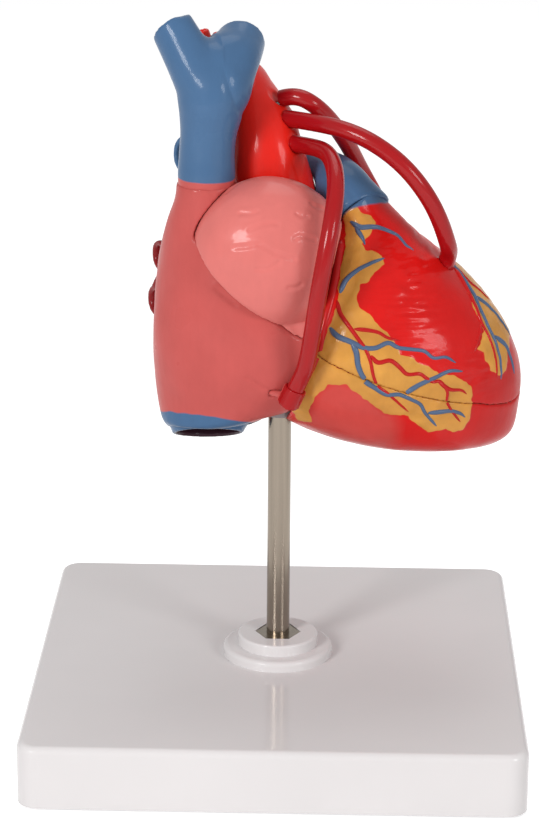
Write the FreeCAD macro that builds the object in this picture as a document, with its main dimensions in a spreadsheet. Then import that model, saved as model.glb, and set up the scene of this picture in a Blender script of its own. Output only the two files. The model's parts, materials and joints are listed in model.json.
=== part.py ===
"""Two-part human heart model with three bypass grafts, on a rod and base plate.

Frame in millimetres: +Z up, +X towards the apex of the heart, origin at the centre of the underside of
the base plate.
The stand is made of PartDesign bodies bound to the sheet. The heart's shells have no flat or round faces, so
they are lofted and swept in code from sizes read from the same sheet.
"""
import FreeCAD, Part
import Sketcher
import math
import os
from FreeCAD import Vector as V

DRIVING_SIZES = [
    # base plate, collar, rod and fasteners
    ("base_width", 210.0), ("base_height", 28.5), ("base_corner_radius", 9.0), ("base_edge_radius", 3.0),
    ("base_wall", 3.0), ("rib_thickness", 2.4), ("rib_depth", 14.0), ("post_diameter", 30.0),
    ("foot_diameter", 14.0), ("foot_height", 1.6), ("foot_inset", 20.0),
    ("collar_height", 9.5), ("collar_top_diameter", 35.0), ("collar_foot_diameter", 48.0),
    ("collar_ring_height", 4.5), ("collar_round", 2.0),
    ("rod_diameter", 10.0), ("rod_chamfer", 0.8), ("spigot_diameter", 8.0), ("spigot_reach", 2.0),
    ("collar_nut_flats", 17.0), ("collar_nut_thickness", 5.0), ("washer_diameter", 20.0),
    ("washer_thickness", 2.0), ("base_nut_flats", 13.0), ("base_nut_thickness", 6.5),
    ("running_gap", 0.05), ("pocket_gap", 0.3), ("heart_clearance", 96.5),
    # ventricles
    ("ventricle_reach", 104.0), ("ventricle_height", 105.0), ("ventricle_depth", 90.0),
    ("groove_offset", 15.0), ("groove_height", 62.0), ("groove_tilt", 14.4),
    ("right_ventricle_wall", 4.0), ("left_ventricle_wall", 11.0), ("left_chamber_length", 92.0),
    ("left_chamber_width", 38.0), ("left_chamber_height", 60.0),
    # atria
    ("atrium_reach", 54.0), ("atrium_height", 118.0), ("atrium_depth", 62.0), ("atrium_wall", 3.5),
    ("left_atrium_width", 68.0), ("left_atrium_depth", 48.0), ("left_atrium_height", 54.0),
    ("auricle_width", 66.0), ("auricle_depth", 50.0), ("auricle_height", 66.0),
    # great vessels
    ("vessel_span", 100.0), ("aorta_diameter", 29.0), ("pulmonary_diameter", 24.0),
    ("vena_cava_diameter", 25.0), ("lower_cava_diameter", 34.0), ("lower_cava_length", 7.0),
    ("branch_diameter", 10.0), ("pulmonary_branch_diameter", 16.0), ("pulmonary_vein_diameter", 14.0),
    ("vessel_wall", 2.5),
    # valves and cords
    ("tricuspid_bore", 30.0), ("mitral_bore", 20.0), ("leaflet_thickness", 0.9),
    # grafts
    ("graft_diameter", 7.2), ("graft_plug_depth", 1.6), ("graft_fit", 0.1),
    ("cuff_diameter", 10.0), ("cuff_length", 8.6),
    # split between the two halves, and the socket on the rod
    ("seam_gap", 0.4), ("bond_gap", 0.3), ("peg_diameter", 3.0),
    ("socket_diameter", 16.0), ("socket_depth", 18.0), ("socket_roof", 2.5),
]

doc = FreeCAD.newDocument("heart_model")
sheet = doc.addObject("Spreadsheet::Sheet", "sizes")
for row, (alias, value) in enumerate(DRIVING_SIZES, start=1):
    sheet.set(f"A{row}", alias)
    sheet.set(f"B{row}", str(value))
    sheet.setAlias(f"B{row}", alias)
doc.recompute()


def size(alias):
    """The number that the sheet holds for a driving size."""
    return float(sheet.get(alias))


SUB_PARTS = []


def sub_part(obj, label):
    """Name a finished object as one of the model's physical pieces."""
    obj.Label = label
    SUB_PARTS.append(obj)
    return obj


def feature(label, shape):
    """A finished piece whose shape is worked out in code."""
    obj = doc.addObject("Part::Feature", label)
    obj.Shape = shape
    obj.Placement = FreeCAD.Placement()
    return sub_part(obj, label)


# ---------------------------------------------------------------- directions and planes of the heart
PULL_ANGLE = math.radians(-34.8)
PULL = V(math.cos(PULL_ANGLE), math.sin(PULL_ANGLE), 0)     # towards the breastbone
ACROSS = V(-PULL.y, PULL.x, 0)                              # towards the left shoulder
UP = V(0, 0, 1)
ORIGIN = V(0, 0, 0)
SOCKET_FOOT_SHARE = 0.14                                    # height of the socket's mouth in the ventricles
BIG = 3 * size("base_width")
floor = size("base_height") + size("heart_clearance")


def ventricle_point(x, y, z):
    """A point given in shares of the ventricles' reach, depth and height."""
    return V(x * size("ventricle_reach"), y * size("ventricle_depth"), floor + z * size("ventricle_height"))


def atrium_point(x, y, z):
    """A point given in shares of the right atrium's reach, depth and height."""
    return V(x * size("atrium_reach"), y * size("atrium_depth"), floor + z * size("atrium_height"))


def vessel_step(x, y, z):
    """A step along a great vessel, in shares of the vessels' span."""
    return V(x, y, z) * size("vessel_span")


tilt = math.radians(size("groove_tilt"))
groove_normal = V(math.cos(tilt), 0, -math.sin(tilt))        # from the atria to the ventricles
groove_point = V(size("groove_offset"), 0, floor + size("groove_height"))


def half_space(point, normal, shift=0.0):
    """A large block that fills the side of a plane that its normal points to."""
    block = Part.makeBox(BIG, BIG, BIG, V(-BIG / 2, -BIG / 2, 0))
    unit = V(normal).normalize()
    block.Placement = FreeCAD.Placement(point + unit * shift, FreeCAD.Rotation(UP, unit))
    return block


def on_groove(y, height):
    """The point of the groove plane at a depth y and a height above the heart's floor."""
    z = floor + height
    x = groove_point.x + (z - groove_point.z) * math.tan(tilt)
    return V(x, y, z)


# ---------------------------------------------------------------- lofts, ellipsoids and pipes
SECTION_POINTS = 8


def closed_wire(points):
    """A smooth closed curve through points, in two halves so that no face of a loft closes on itself."""
    curve = Part.BSplineCurve()
    curve.interpolate(Points=points, PeriodicFlag=True)
    middle = (curve.FirstParameter + curve.LastParameter) / 2
    halves = [curve.toShape(curve.FirstParameter, middle), curve.toShape(middle, curve.LastParameter)]
    return Part.Wire(halves)


def section_wire(left, right, front, back, z, inset=0.0):
    """A closed curve of four quarter ellipses in a level plane, drawn in by inset on every side."""
    middle_x = (left + right) / 2
    middle_y = (front + back) / 2
    half_x = (right - left) / 2 - inset
    half_y = (back - front) / 2 - inset
    points = []
    for step in range(SECTION_POINTS):
        angle = 2 * math.pi * step / SECTION_POINTS
        points.append(V(middle_x + half_x * math.cos(angle), middle_y + half_y * math.sin(angle), z))
    return closed_wire(points)


def disc_wire(centre, normal, radius):
    """The section that ends a loft in a tilted circle, with its points in step with section_wire."""
    turn = FreeCAD.Rotation(UP, normal)
    points = []
    for step in range(SECTION_POINTS):
        angle = 2 * math.pi * step / SECTION_POINTS
        points.append(centre + turn.multVec(V(radius * math.cos(angle), radius * math.sin(angle), 0)))
    return closed_wire(points)


def loft(wires):
    """A closed solid through a stack of sections."""
    return Part.makeLoft(wires, True, False, False, 3)


def ellipsoid(centre, half_x, half_y, half_z, turn=FreeCAD.Rotation()):
    """A solid ellipsoid: a unit sphere stretched along its three axes."""
    stretch = FreeCAD.Matrix()
    stretch.scale(half_x, half_y, half_z)
    near_half = Part.makeSphere(1.0, ORIGIN, UP, -90, 90, 180)
    far_half = near_half.copy()
    far_half.rotate(ORIGIN, UP, 180)
    solid = near_half.transformGeometry(stretch).fuse(far_half.transformGeometry(stretch))
    solid.Placement = FreeCAD.Placement(centre, turn)
    return solid


def rounded_path(points):
    """A wire through straight runs joined by tangent arcs, each as large as its two runs allow."""
    edges = []
    start = points[0]
    for before, corner, after in zip(points, points[1:], points[2:]):
        towards = (corner - before).normalize()
        onwards = (after - corner).normalize()
        turn = towards.getAngle(onwards)
        if turn < 0.001:
            continue
        cut_back = 0.45 * min(before.distanceToPoint(corner), corner.distanceToPoint(after))
        first = corner - towards * cut_back
        last = corner + onwards * cut_back
        chord_middle = (first + last) * 0.5
        radius = cut_back / math.tan(turn / 2)
        sagitta = radius * (1 - math.cos(turn / 2))
        middle = chord_middle + (corner - chord_middle).normalize() * sagitta
        edges.append(Part.LineSegment(start, first).toShape())
        edges.append(Part.Arc(first, middle, last).toShape())
        start = last
    edges.append(Part.LineSegment(start, points[-1]).toShape())
    return Part.Wire(edges)


def pipe(points, radius):
    """A round bar along straight runs joined by tangent arcs."""
    path = rounded_path(points)
    ring = Part.Wire([Part.Circle(points[0], points[1] - points[0], radius).toShape()])
    return path.makePipeShell([ring], True, False)


def fused(shapes):
    """One shape from overlapping ones."""
    whole = shapes[0]
    for shape in shapes[1:]:
        whole = whole.fuse(shape)
    return whole


def largest(shape):
    """The main solid of a cut, without loose slivers."""
    return max(shape.Solids, key=lambda solid: solid.Volume)


def skin_point(shape, start, direction):
    """The point where a line from inside a solid leaves it for the last time."""
    line = Part.LineSegment(start, start + V(direction).normalize() * BIG).toShape()
    inside = line.common(shape)
    return max((vertex.Point for vertex in inside.Vertexes), key=lambda point: point.distanceToPoint(start))


# ---------------------------------------------------------------- split between the two halves
# distance along the pull direction and height above the floor, as shares of the ventricles' reach and height
SEAM_PROFILE = [(0.94, 0.15), (0.80, 0.27), (0.337, 0.48), (0.221, 0.57), (-0.154, 0.943), (-0.577, 1.345)]
BACK_PLANE_NORMAL = V(0.361, -0.932, 0)
back_plane_point = PULL * (0.115 * size("ventricle_reach")) + ACROSS * (0.02 * size("ventricle_reach"))


def front_region(gap):
    """The space of the removable half, let back by a gap measured square to its faces."""
    base = ORIGIN - ACROSS * (BIG / 2)
    points = []
    for along, height in SEAM_PROFILE:
        z = floor + height * size("ventricle_height")
        points.append(base + PULL * (along * size("ventricle_reach")) + UP * z)
    top = floor + 2 * size("ventricle_height")
    low = points[0].z
    points.append(V(points[-1].x, points[-1].y, top))
    points.append(base + PULL * BIG / 2 + UP * top)
    points.append(base + PULL * BIG / 2 + UP * low)
    profile = Part.Face(Part.makePolygon(points + [points[0]]))
    wedge = profile.extrude(ACROSS * BIG)
    seam_slope = points[3] - points[4]
    seam_normal = V(seam_slope).cross(ACROSS).normalize()
    wedge.translate(PULL * (-gap / abs(seam_normal.dot(PULL))))
    return wedge.common(half_space(back_plane_point, BACK_PLANE_NORMAL, -gap))


front = front_region(0.0)
front_with_gap = front_region(size("seam_gap"))

# ---------------------------------------------------------------- ventricles
# height, left, right, front and back of each level section, as shares of height, reach and depth
VENTRICLE_SECTIONS = [
    (0.0, 0.40, 0.82, -0.06, 0.17), (0.04, 0.24, 0.92, -0.20, 0.32), (0.12, 0.02, 0.97, -0.32, 0.44),
    (0.24, -0.12, 0.985, -0.40, 0.51), (0.36, -0.16, 0.98, -0.44, 0.55), (0.48, -0.15, 0.94, -0.445, 0.55),
    (0.60, -0.10, 0.865, -0.41, 0.52), (0.72, 0.0, 0.755, -0.34, 0.47), (0.82, 0.08, 0.635, -0.26, 0.39),
    (0.90, 0.15, 0.515, -0.18, 0.29),
]
pulmonary_way = V(-0.62, 0.3, 0.72).normalize()         # out of the right ventricle into the pulmonary trunk
pulmonary_root = ventricle_point(0.30, 0.022, 1.0)
pulmonary_radius = size("pulmonary_diameter") / 2


def ventricle_form(inset):
    """The ventricles' outer form, or the same form drawn in by a wall."""
    wires = []
    for height, left, right, front_share, back in VENTRICLE_SECTIONS:
        low = ventricle_point(left, front_share, height)
        high = ventricle_point(right, back, height)
        level = low.z + inset if height == 0.0 else low.z
        wires.append(section_wire(low.x, high.x, low.y, high.y, level, inset))
    overrun = size("bond_gap") if inset else 0.0
    wires.append(disc_wire(pulmonary_root + pulmonary_way * overrun, pulmonary_way, pulmonary_radius - inset))
    return loft(wires)


chamber_turn = FreeCAD.Rotation(V(1, 0, 0), V(0.898, -0.15, -0.415))
chamber_centre = ventricle_point(0.45, 0.285, 0.42)


def left_chamber(grow):
    """The left ventricle's cavity, or the cavity grown by its wall."""
    halves = [size(f"left_chamber_{side}") / 2 + grow for side in ("length", "width", "height")]
    return ellipsoid(chamber_centre, *halves, chamber_turn)


aortic_root = on_groove(0.155 * size("ventricle_depth"), 0.715 * size("ventricle_height"))
aortic_way = V(-0.80, -0.12, 0.59).normalize()
aorta_radius = size("aorta_diameter") / 2
outflow_points = [
    aortic_root - V(-0.86, 0.0, 0.5) * aorta_radius * 2,
    aortic_root - aortic_way * aorta_radius * 0.3,
    aortic_root + aortic_way * aorta_radius,
]
outflow = pipe(outflow_points, aorta_radius - size("vessel_wall"))

ventricles = ventricle_form(0.0)
right_chamber = ventricle_form(size("right_ventricle_wall")).cut(left_chamber(size("left_ventricle_wall")))
ventricle_side = half_space(groove_point, groove_normal, size("bond_gap") / 2)
atrial_side = half_space(groove_point, groove_normal * -1, size("bond_gap") / 2)
closed_ventricles = ventricles.common(ventricle_side)
chambers = [right_chamber, left_chamber(0.0), outflow]


# ---------------------------------------------------------------- right atrium
# height, left, right, front and back of each level section, as shares of height, reach and depth
ATRIUM_SECTIONS = [
    (0.175, -0.96, 0.18, -0.46, 0.42), (0.24, -0.985, 0.45, -0.51, 0.475), (0.39, -1.0, 0.63, -0.58, 0.42),
    (0.54, -0.99, 0.56, -0.565, 0.41), (0.65, -0.972, 0.41, -0.53, 0.45), (0.76, -0.937, 0.15, -0.47, 0.34),
    (0.86, -0.88, -0.11, -0.42, 0.13), (0.93, -0.83, -0.28, -0.40, 0.015),
]
upper_cava_root = atrium_point(-0.574, -0.194, 1.0)
upper_cava_radius = size("vena_cava_diameter") / 2
lower_cava_way = V(0.03, -0.36, -0.93).normalize()      # the lower vein opens down and forward
lower_cava_root = atrium_point(-0.574, -0.03, 0.11)
lower_cava_radius = size("lower_cava_diameter") / 2


def atrium_form(inset):
    """The right atrium's outer form, or the same form drawn in by a wall and run past both mouths."""
    overrun = size("bond_gap") if inset > 0 else 0.0
    foot = lower_cava_root + lower_cava_way * overrun
    wires = [disc_wire(foot, lower_cava_way * -1, lower_cava_radius - inset)]
    for height, left, right, front_share, back in ATRIUM_SECTIONS:
        low = atrium_point(left, front_share, height)
        high = atrium_point(right, back, height)
        wires.append(section_wire(low.x, high.x, low.y, high.y, low.z, inset))
    wires.append(disc_wire(upper_cava_root + UP * overrun, UP, upper_cava_radius - inset))
    return loft(wires)


# ---------------------------------------------------------------- great vessels
bond = size("bond_gap")
vessel_wall = size("vessel_wall")
branch_radius = size("branch_diameter") / 2
# steps from the aortic valve, in shares of the vessels' span
AORTA_STEPS = [(-0.18, -0.07, 0.33), (-0.235, -0.065, 0.50), (-0.30, 0.02, 0.71), (-0.345, 0.20, 0.75),
               (-0.37, 0.33, 0.62)]
ARCH_BRANCHES = [
    [(-0.38, 0.06, 0.72), (-0.46, 0.07, 0.89), (-0.50, 0.07, 1.0)],
    [(-0.38, 0.13, 0.75), (-0.40, 0.14, 0.91), (-0.39, 0.13, 0.98)],
    [(-0.37, 0.21, 0.75), (-0.34, 0.26, 0.89), (-0.31, 0.29, 0.95)],
]


def aorta_bar(radius):
    """The aorta from inside the ventricles, up, over the arch and down to its cut end."""
    lead = aortic_way * (aorta_radius * 1.2)
    points = [aortic_root - lead, aortic_root + lead]
    for step in AORTA_STEPS:
        points.append(aortic_root + vessel_step(*step))
    return pipe(points, radius)


def arch_branches(radius):
    """The three arteries that leave the top of the arch."""
    return [pipe([aortic_root + vessel_step(*step) for step in steps], radius) for steps in ARCH_BRANCHES]


aorta_outer = fused([aorta_bar(aorta_radius)] + arch_branches(branch_radius))
aorta_bore = fused([aorta_bar(aorta_radius - vessel_wall)] + arch_branches(branch_radius - vessel_wall * 0.6))
aorta_shape = aorta_outer.cut(aorta_bore).common(atrial_side)
aorta_space = aorta_bar(aorta_radius + bond)
aorta_space_with_wall = aorta_bar(aorta_radius + bond + size("atrium_wall"))

# pulmonary trunk: steps from its root
TRUNK_STEPS = [(-0.055, 0.055, 0.065), (-0.115, 0.19, 0.075), (-0.20, 0.34, 0.07), (-0.21, 0.46, 0.02)]
RIGHT_BRANCH_STEPS = [(-0.185, 0.30, 0.06), (-0.36, 0.35, 0.10), (-0.60, 0.25, 0.14), (-0.775, 0.12, 0.165)]
trunk_start = pulmonary_root + pulmonary_way * bond
pulmonary_branch_radius = size("pulmonary_branch_diameter") / 2


def pulmonary_form(grow):
    """The pulmonary trunk with its right branch, grown or drawn in."""
    trunk_points = [trunk_start] + [trunk_start + vessel_step(*step) for step in TRUNK_STEPS]
    branch_points = [trunk_start + vessel_step(*step) for step in RIGHT_BRANCH_STEPS]
    trunk = pipe(trunk_points, pulmonary_radius + grow)
    return trunk.fuse(pipe(branch_points, pulmonary_branch_radius + grow))


pulmonary_shape = pulmonary_form(0.0).cut(pulmonary_form(-vessel_wall)).cut(aorta_space)

# venae cavae
CAVA_STEPS = [(0.0, 0.0, 0.20), (-0.005, 0.0, 0.37), (-0.055, 0.012, 0.51), (-0.128, 0.062, 0.61)]
LEFT_VEIN_STEPS = [(0.0, 0.0, 0.14), (0.01, 0.0, 0.30), (0.11, 0.03, 0.48), (0.135, 0.22, 0.555)]
cava_start = upper_cava_root + UP * bond


def upper_cava_form(grow):
    """The upper great vein with the two veins that join into it."""
    trunk_points = [cava_start] + [cava_start + vessel_step(*step) for step in CAVA_STEPS]
    vein_points = [cava_start + vessel_step(*step) for step in LEFT_VEIN_STEPS]
    trunk = pipe(trunk_points, upper_cava_radius + grow)
    return trunk.fuse(pipe(vein_points, upper_cava_radius * 0.8 + grow))


upper_cava_shape = upper_cava_form(0.0).cut(upper_cava_form(-vessel_wall))
lower_cava_start = lower_cava_root + lower_cava_way * bond
lower_cava_run = [size("lower_cava_length"), lower_cava_start, lower_cava_way]
lower_cava_shape = Part.makeCylinder(lower_cava_radius, *lower_cava_run)
lower_cava_shape = lower_cava_shape.cut(Part.makeCylinder(lower_cava_radius - vessel_wall, *lower_cava_run))


# ---------------------------------------------------------------- socket on the rod
rod_radius = size("rod_diameter") / 2
socket_radius = size("socket_diameter") / 2
socket_foot = floor + SOCKET_FOOT_SHARE * size("ventricle_height")
socket_space = Part.makeCylinder(socket_radius + bond, size("socket_depth") + bond, V(0, 0, socket_foot))
below_socket = Part.makeCylinder(socket_radius + bond, size("heart_clearance"), V(0, 0, socket_foot), UP * -1)
rod_tip = socket_foot + size("socket_depth") - size("socket_roof")
socket_shape = Part.makeCylinder(socket_radius, size("socket_depth"), V(0, 0, socket_foot))
socket_bore = Part.makeCylinder(rod_radius + size("running_gap"), rod_tip - socket_foot, V(0, 0, socket_foot))
socket_shape = socket_shape.cut(socket_bore)

# ---------------------------------------------------------------- atria, auricles and pulmonary veins
atrium_wall = size("atrium_wall")
atrial_inside = half_space(groove_point, groove_normal * -1, bond / 2 + atrium_wall)
auricle_centre = atrium_point(-0.085, -0.30, 0.757)
left_atrium_centre = on_groove(0.40 * size("ventricle_depth"), 0.77 * size("ventricle_height"))
left_atrium_centre -= V(0.41 * size("left_atrium_width"), 0, 0)
left_auricle_centre = ventricle_point(0.30, 0.52, 0.86)


def right_auricle_form(grow):
    """The right auricle's rounded form."""
    halves = [size(f"auricle_{side}") / 2 + grow for side in ("width", "depth", "height")]
    return ellipsoid(auricle_centre, *halves)


def left_atrium_form(grow):
    """The left atrium's rounded form."""
    halves = [size(f"left_atrium_{side}") / 2 + grow for side in ("width", "depth", "height")]
    return ellipsoid(left_atrium_centre, *halves)


tricuspid_centre = on_groove(-0.11 * size("ventricle_depth"), 0.46 * size("ventricle_height"))
mitral_centre = on_groove(0.36 * size("ventricle_depth"), 0.545 * size("ventricle_height"))
tricuspid_radius = size("tricuspid_bore") / 2
mitral_radius = size("mitral_bore") / 2
valve_reach = 2 * atrium_wall + 2 * bond


def valve_hole(centre, radius):
    """The round way through an atrium's wall to the ventricle below it."""
    return Part.makeCylinder(radius, valve_reach, centre - groove_normal * valve_reach, groove_normal)


tricuspid_hole = valve_hole(tricuspid_centre, tricuspid_radius)
mitral_hole = valve_hole(mitral_centre, mitral_radius)

auricle_seat = right_auricle_form(size("seam_gap")).fuse(half_space(auricle_centre, UP * -1))
front_space = front_region(1.25 * size("seam_gap"))
right_atrium = atrium_form(0.0).common(atrial_side).cut(front_space.common(auricle_seat)).cut(aorta_space)
right_atrium_space = atrium_form(atrium_wall).common(atrial_inside).cut(aorta_space_with_wall)
right_atrium = right_atrium.cut(right_atrium_space).cut(tricuspid_hole).cut(socket_space).cut(below_socket)

# below its middle the auricle runs on into the atrium's own form as far as the groove
apron_space = half_space(auricle_centre, UP * -1, size("seam_gap"))
right_auricle = right_auricle_form(0.0).fuse(atrium_form(0.0).common(apron_space))
right_auricle = right_auricle.common(front).common(atrial_side).cut(aorta_space).cut(upper_cava_form(bond))
right_auricle = right_auricle.cut(right_auricle_form(-atrium_wall))
right_auricle = largest(right_auricle.cut(atrium_form(atrium_wall).common(atrial_inside)))

# the veins lie level, from inside the left atrium to their cut ends
vein_radius = size("pulmonary_vein_diameter") / 2
vein_reach = 0.44 * size("left_atrium_width")
RIGHT_VEINS = [V(-0.28, -0.05, -0.10), V(-0.28, -0.10, -0.37)]
LEFT_VEINS = [V(0.10, 0.36, 0.05), V(0.28, 0.26, -0.24)]
left_atrium_size = V(size("left_atrium_width"), size("left_atrium_depth"), size("left_atrium_height"))


def veins(starts, way, radius):
    """A pair of veins from inside the left atrium."""
    bars = []
    for start in starts:
        foot = left_atrium_centre + V(start.x * left_atrium_size.x, start.y * left_atrium_size.y,
                                      start.z * left_atrium_size.z)
        bars.append(Part.makeCylinder(radius, vein_reach, foot, way))
    return bars


def furthest_out(shape, way):
    """The solid of a cut that lies furthest from the left atrium along a way."""
    return max(shape.Solids, key=lambda solid: (solid.CenterOfMass - left_atrium_centre).dot(way))


RIGHT_WAY = V(-1, -0.10, 0)
LEFT_WAY = V(0.45, 0.89, 0)
atrium_space = atrium_form(-bond)
left_atrium_outer = left_atrium_form(0.0).common(atrial_side).cut(atrium_space).cut(aorta_space)
left_atrium_outer = left_atrium_outer.cut(pulmonary_form(bond))
left_atrium_inner = left_atrium_form(-atrium_wall).common(atrial_inside)
left_atrium_inner = left_atrium_inner.cut(atrium_form(-bond - atrium_wall)).cut(aorta_space_with_wall)
left_atrium = left_atrium_outer.cut(left_atrium_inner).cut(mitral_hole)
vein_pairs = []
for starts, way in ((RIGHT_VEINS, RIGHT_WAY), (LEFT_VEINS, LEFT_WAY)):
    bores = veins(starts, way, vein_radius - vessel_wall)
    for bore in bores:
        left_atrium = left_atrium.cut(bore)
    stubs = []
    for stub, bore in zip(veins(starts, way, vein_radius), bores):
        outside = stub.cut(left_atrium_form(bond)).cut(atrium_space).cut(bore)
        stubs.append(furthest_out(outside, way))
    vein_pairs.append(Part.makeCompound(stubs))
right_veins, left_veins = vein_pairs

left_auricle = ellipsoid(left_auricle_centre, 0.17 * size("ventricle_reach"), 0.10 * size("ventricle_depth"),
                         0.10 * size("ventricle_height"), FreeCAD.Rotation(UP, 35))
left_auricle = left_auricle.cut(ventricle_form(-bond)).cut(left_atrium_form(bond)).cut(pulmonary_form(bond))

# ---------------------------------------------------------------- the two ventricle walls
front_wall = closed_ventricles.common(front)
rear_wall = closed_ventricles.cut(front_with_gap)
for chamber in chambers:
    front_wall = front_wall.cut(chamber)
    rear_wall = rear_wall.cut(chamber)
front_wall = front_wall.cut(pulmonary_form(bond))
rear_wall = rear_wall.cut(pulmonary_form(bond)).cut(socket_space).cut(below_socket)

# ---------------------------------------------------------------- valves, papillary muscles and cords
leaflet = size("leaflet_thickness")


def valve(centre, way, radius, length, tip_share, leaflets, first_angle):
    """A ring with thin leaflets that lean together, parted by narrow slots."""
    tip_radius = radius * tip_share
    collar = length * 0.12
    profile = Part.makePolygon([
        V(radius, 0, 0), V(radius, 0, collar), V(tip_radius, 0, length), V(tip_radius - leaflet, 0, length),
        V(radius - 2 * leaflet, 0, collar), V(radius - 2 * leaflet, 0, 0), V(radius, 0, 0),
    ])
    body = Part.Face(profile).revolve(ORIGIN, UP, 360)
    if body.Volume < 0:
        body.reverse()
    seat = FreeCAD.Placement(centre, FreeCAD.Rotation(UP, way))
    body.Placement = seat
    slot_width = 2 * leaflet
    for number in range(leaflets):
        slot = Part.makeBox(radius, slot_width, length, V(0, -slot_width / 2, collar * 2.5))
        slot.rotate(ORIGIN, UP, first_angle + number * 360 / leaflets)
        slot.Placement = seat.multiply(slot.Placement)
        body = body.cut(slot)
    return body


VALVE_TIP = 0.6        # radius between the leaflets' tips, as a share of the ring's
tricuspid_length = 0.5 * size("tricuspid_bore")
mitral_length = 0.5 * size("mitral_bore")
tricuspid_valve = valve(tricuspid_centre - groove_normal * atrium_wall, groove_normal,
                        tricuspid_radius - bond, tricuspid_length + atrium_wall, VALVE_TIP, 3, 90)
mitral_valve = valve(mitral_centre - groove_normal * atrium_wall, groove_normal,
                     mitral_radius - bond, mitral_length + atrium_wall, VALVE_TIP, 2, 90)
aortic_valve = valve(aortic_root + aortic_way * bond, aortic_way, aorta_radius - vessel_wall - bond,
                     0.5 * aorta_radius, 0.25, 3, 30)
pulmonary_valve = valve(trunk_start, pulmonary_way, pulmonary_radius - vessel_wall - bond,
                        0.5 * pulmonary_radius, 0.25, 3, 30)


def muscle(tip, root, space):
    """A papillary muscle: a blunt cone from the wall of a chamber towards its valve."""
    way = root - tip
    cone = Part.makeCone(0.02 * size("ventricle_reach"), 0.06 * size("ventricle_reach"), way.Length, tip, way)
    return largest(cone.common(space))


def papillary_muscles(places, space):
    """The papillary muscles of one chamber, from their tips and roots."""
    return [muscle(ventricle_point(*tip), ventricle_point(*root), space) for tip, root in places]


right_space = ventricle_form(size("right_ventricle_wall") + bond)
right_space = right_space.cut(left_chamber(size("left_ventricle_wall") + bond))
left_space = left_chamber(-bond)
RIGHT_MUSCLES = [((0.385, -0.24, 0.30), (0.58, -0.30, -0.05)), ((0.27, -0.26, 0.27), (0.36, -0.36, -0.05))]
LEFT_MUSCLES = [((0.47, 0.19, 0.44), (0.78, 0.11, 0.10)), ((0.47, 0.35, 0.40), (0.74, 0.42, 0.05))]
right_muscles = papillary_muscles(RIGHT_MUSCLES, right_space)
left_muscles = papillary_muscles(LEFT_MUSCLES, left_space)


def cords(muscles, centre, length, rim_radius):
    """Thin cords from the tips of the papillary muscles to the rim of a valve's leaflets."""
    lines = []
    for number, (tip_shares, _) in enumerate(muscles):
        tip = ventricle_point(*tip_shares)
        for spread in (-0.5, 0.5):
            angle = math.pi * (number + 0.5 + spread * 0.5)
            rim = centre + groove_normal * (length + 6 * bond)
            rim += V(0, math.cos(angle), 0) * rim_radius + V(0, 0, math.sin(angle)) * rim_radius
            way = (rim - tip).normalize()
            start = tip + way * 3 * bond + V(0, spread * 2 * leaflet, 0)
            reach = start.distanceToPoint(rim) - bond
            lines.append(Part.makeCylinder(leaflet / 2, reach, start, rim - start))
    return lines


chordae = cords(RIGHT_MUSCLES, tricuspid_centre, tricuspid_length, tricuspid_radius * VALVE_TIP - leaflet)
chordae += cords(LEFT_MUSCLES, mitral_centre, mitral_length, mitral_radius * VALVE_TIP - leaflet)


# ---------------------------------------------------------------- bypass grafts
graft_radius = size("graft_diameter") / 2
plug_depth = size("graft_plug_depth")
GRAFT_LEAD = 0.7       # straight run at each end, as a share of the graft's diameter


def graft_points(start, start_way, end, end_way, steps, end_lead=GRAFT_LEAD * size("graft_diameter")):
    """A graft's route: plugged in at both ends, with steps in shares of the straight distance."""
    span = start.distanceToPoint(end)
    lead = GRAFT_LEAD * size("graft_diameter")
    points = [start - start_way * plug_depth, start + start_way * lead]
    for pull, across, up in steps:
        points.append(start + PULL * (pull * span) + ACROSS * (across * span) + UP * (up * span))
    points += [end + end_way * end_lead, end - end_way * plug_depth]
    return points


def plug_space(point, way, radius, depth):
    """The shallow socket that takes a plug's end: way points out of the wall."""
    reach = depth + size("graft_fit")
    return Part.makeCylinder(radius + size("graft_fit"), reach + 2 * graft_radius, point - way * reach, way)


def aorta_anchor(share, way):
    """A point on the skin of the ascending aorta, at a share of its upper straight part."""
    low = aortic_root + vessel_step(*AORTA_STEPS[1])
    high = aortic_root + vessel_step(*AORTA_STEPS[2])
    return skin_point(aorta_outer, low + (high - low) * share, way)


side_top_way = V(0.86, -0.38, 0.34).normalize()
front_end_way = V(0.25, -0.10, 0.96).normalize()
side_end_way = V(0.05, 0.60, 0.80).normalize()
right_top = aorta_anchor(0.33, PULL)
front_top = aorta_anchor(0.80, PULL)
side_top = aorta_anchor(0.95, side_top_way)
front_foot = skin_point(ventricles, ventricle_point(0.625, 0.0, 0.62), front_end_way)
side_foot = skin_point(ventricles, ventricle_point(0.42, 0.20, 0.60), side_end_way)
# steps along PULL, ACROSS and UP, in shares of the distance between a graft's ends
RIGHT_STEPS = [(0.151, -0.027, 0.008), (0.224, -0.072, -0.015), (0.287, -0.136, -0.056),
               (0.333, -0.20, -0.12), (0.363, -0.269, -0.212), (0.365, -0.31, -0.335),
               (0.344, -0.329, -0.50), (0.31, -0.319, -0.68), (0.275, -0.306, -0.811)]
FRONT_STEPS = [(0.151, -0.003, 0.0), (0.278, -0.008, -0.002), (0.396, 0.006, -0.026), (0.497, 0.036, -0.077),
               (0.592, 0.075, -0.15), (0.661, 0.123, -0.25), (0.703, 0.18, -0.362), (0.716, 0.242, -0.481),
               (0.707, 0.303, -0.576)]
SIDE_STEPS = [(0.15, 0.03, -0.01), (0.169, 0.145, -0.106), (0.159, 0.259, -0.198),
              (0.144, 0.384, -0.313), (0.132, 0.47, -0.408), (0.138, 0.541, -0.503), (0.184, 0.60, -0.632)]

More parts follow.
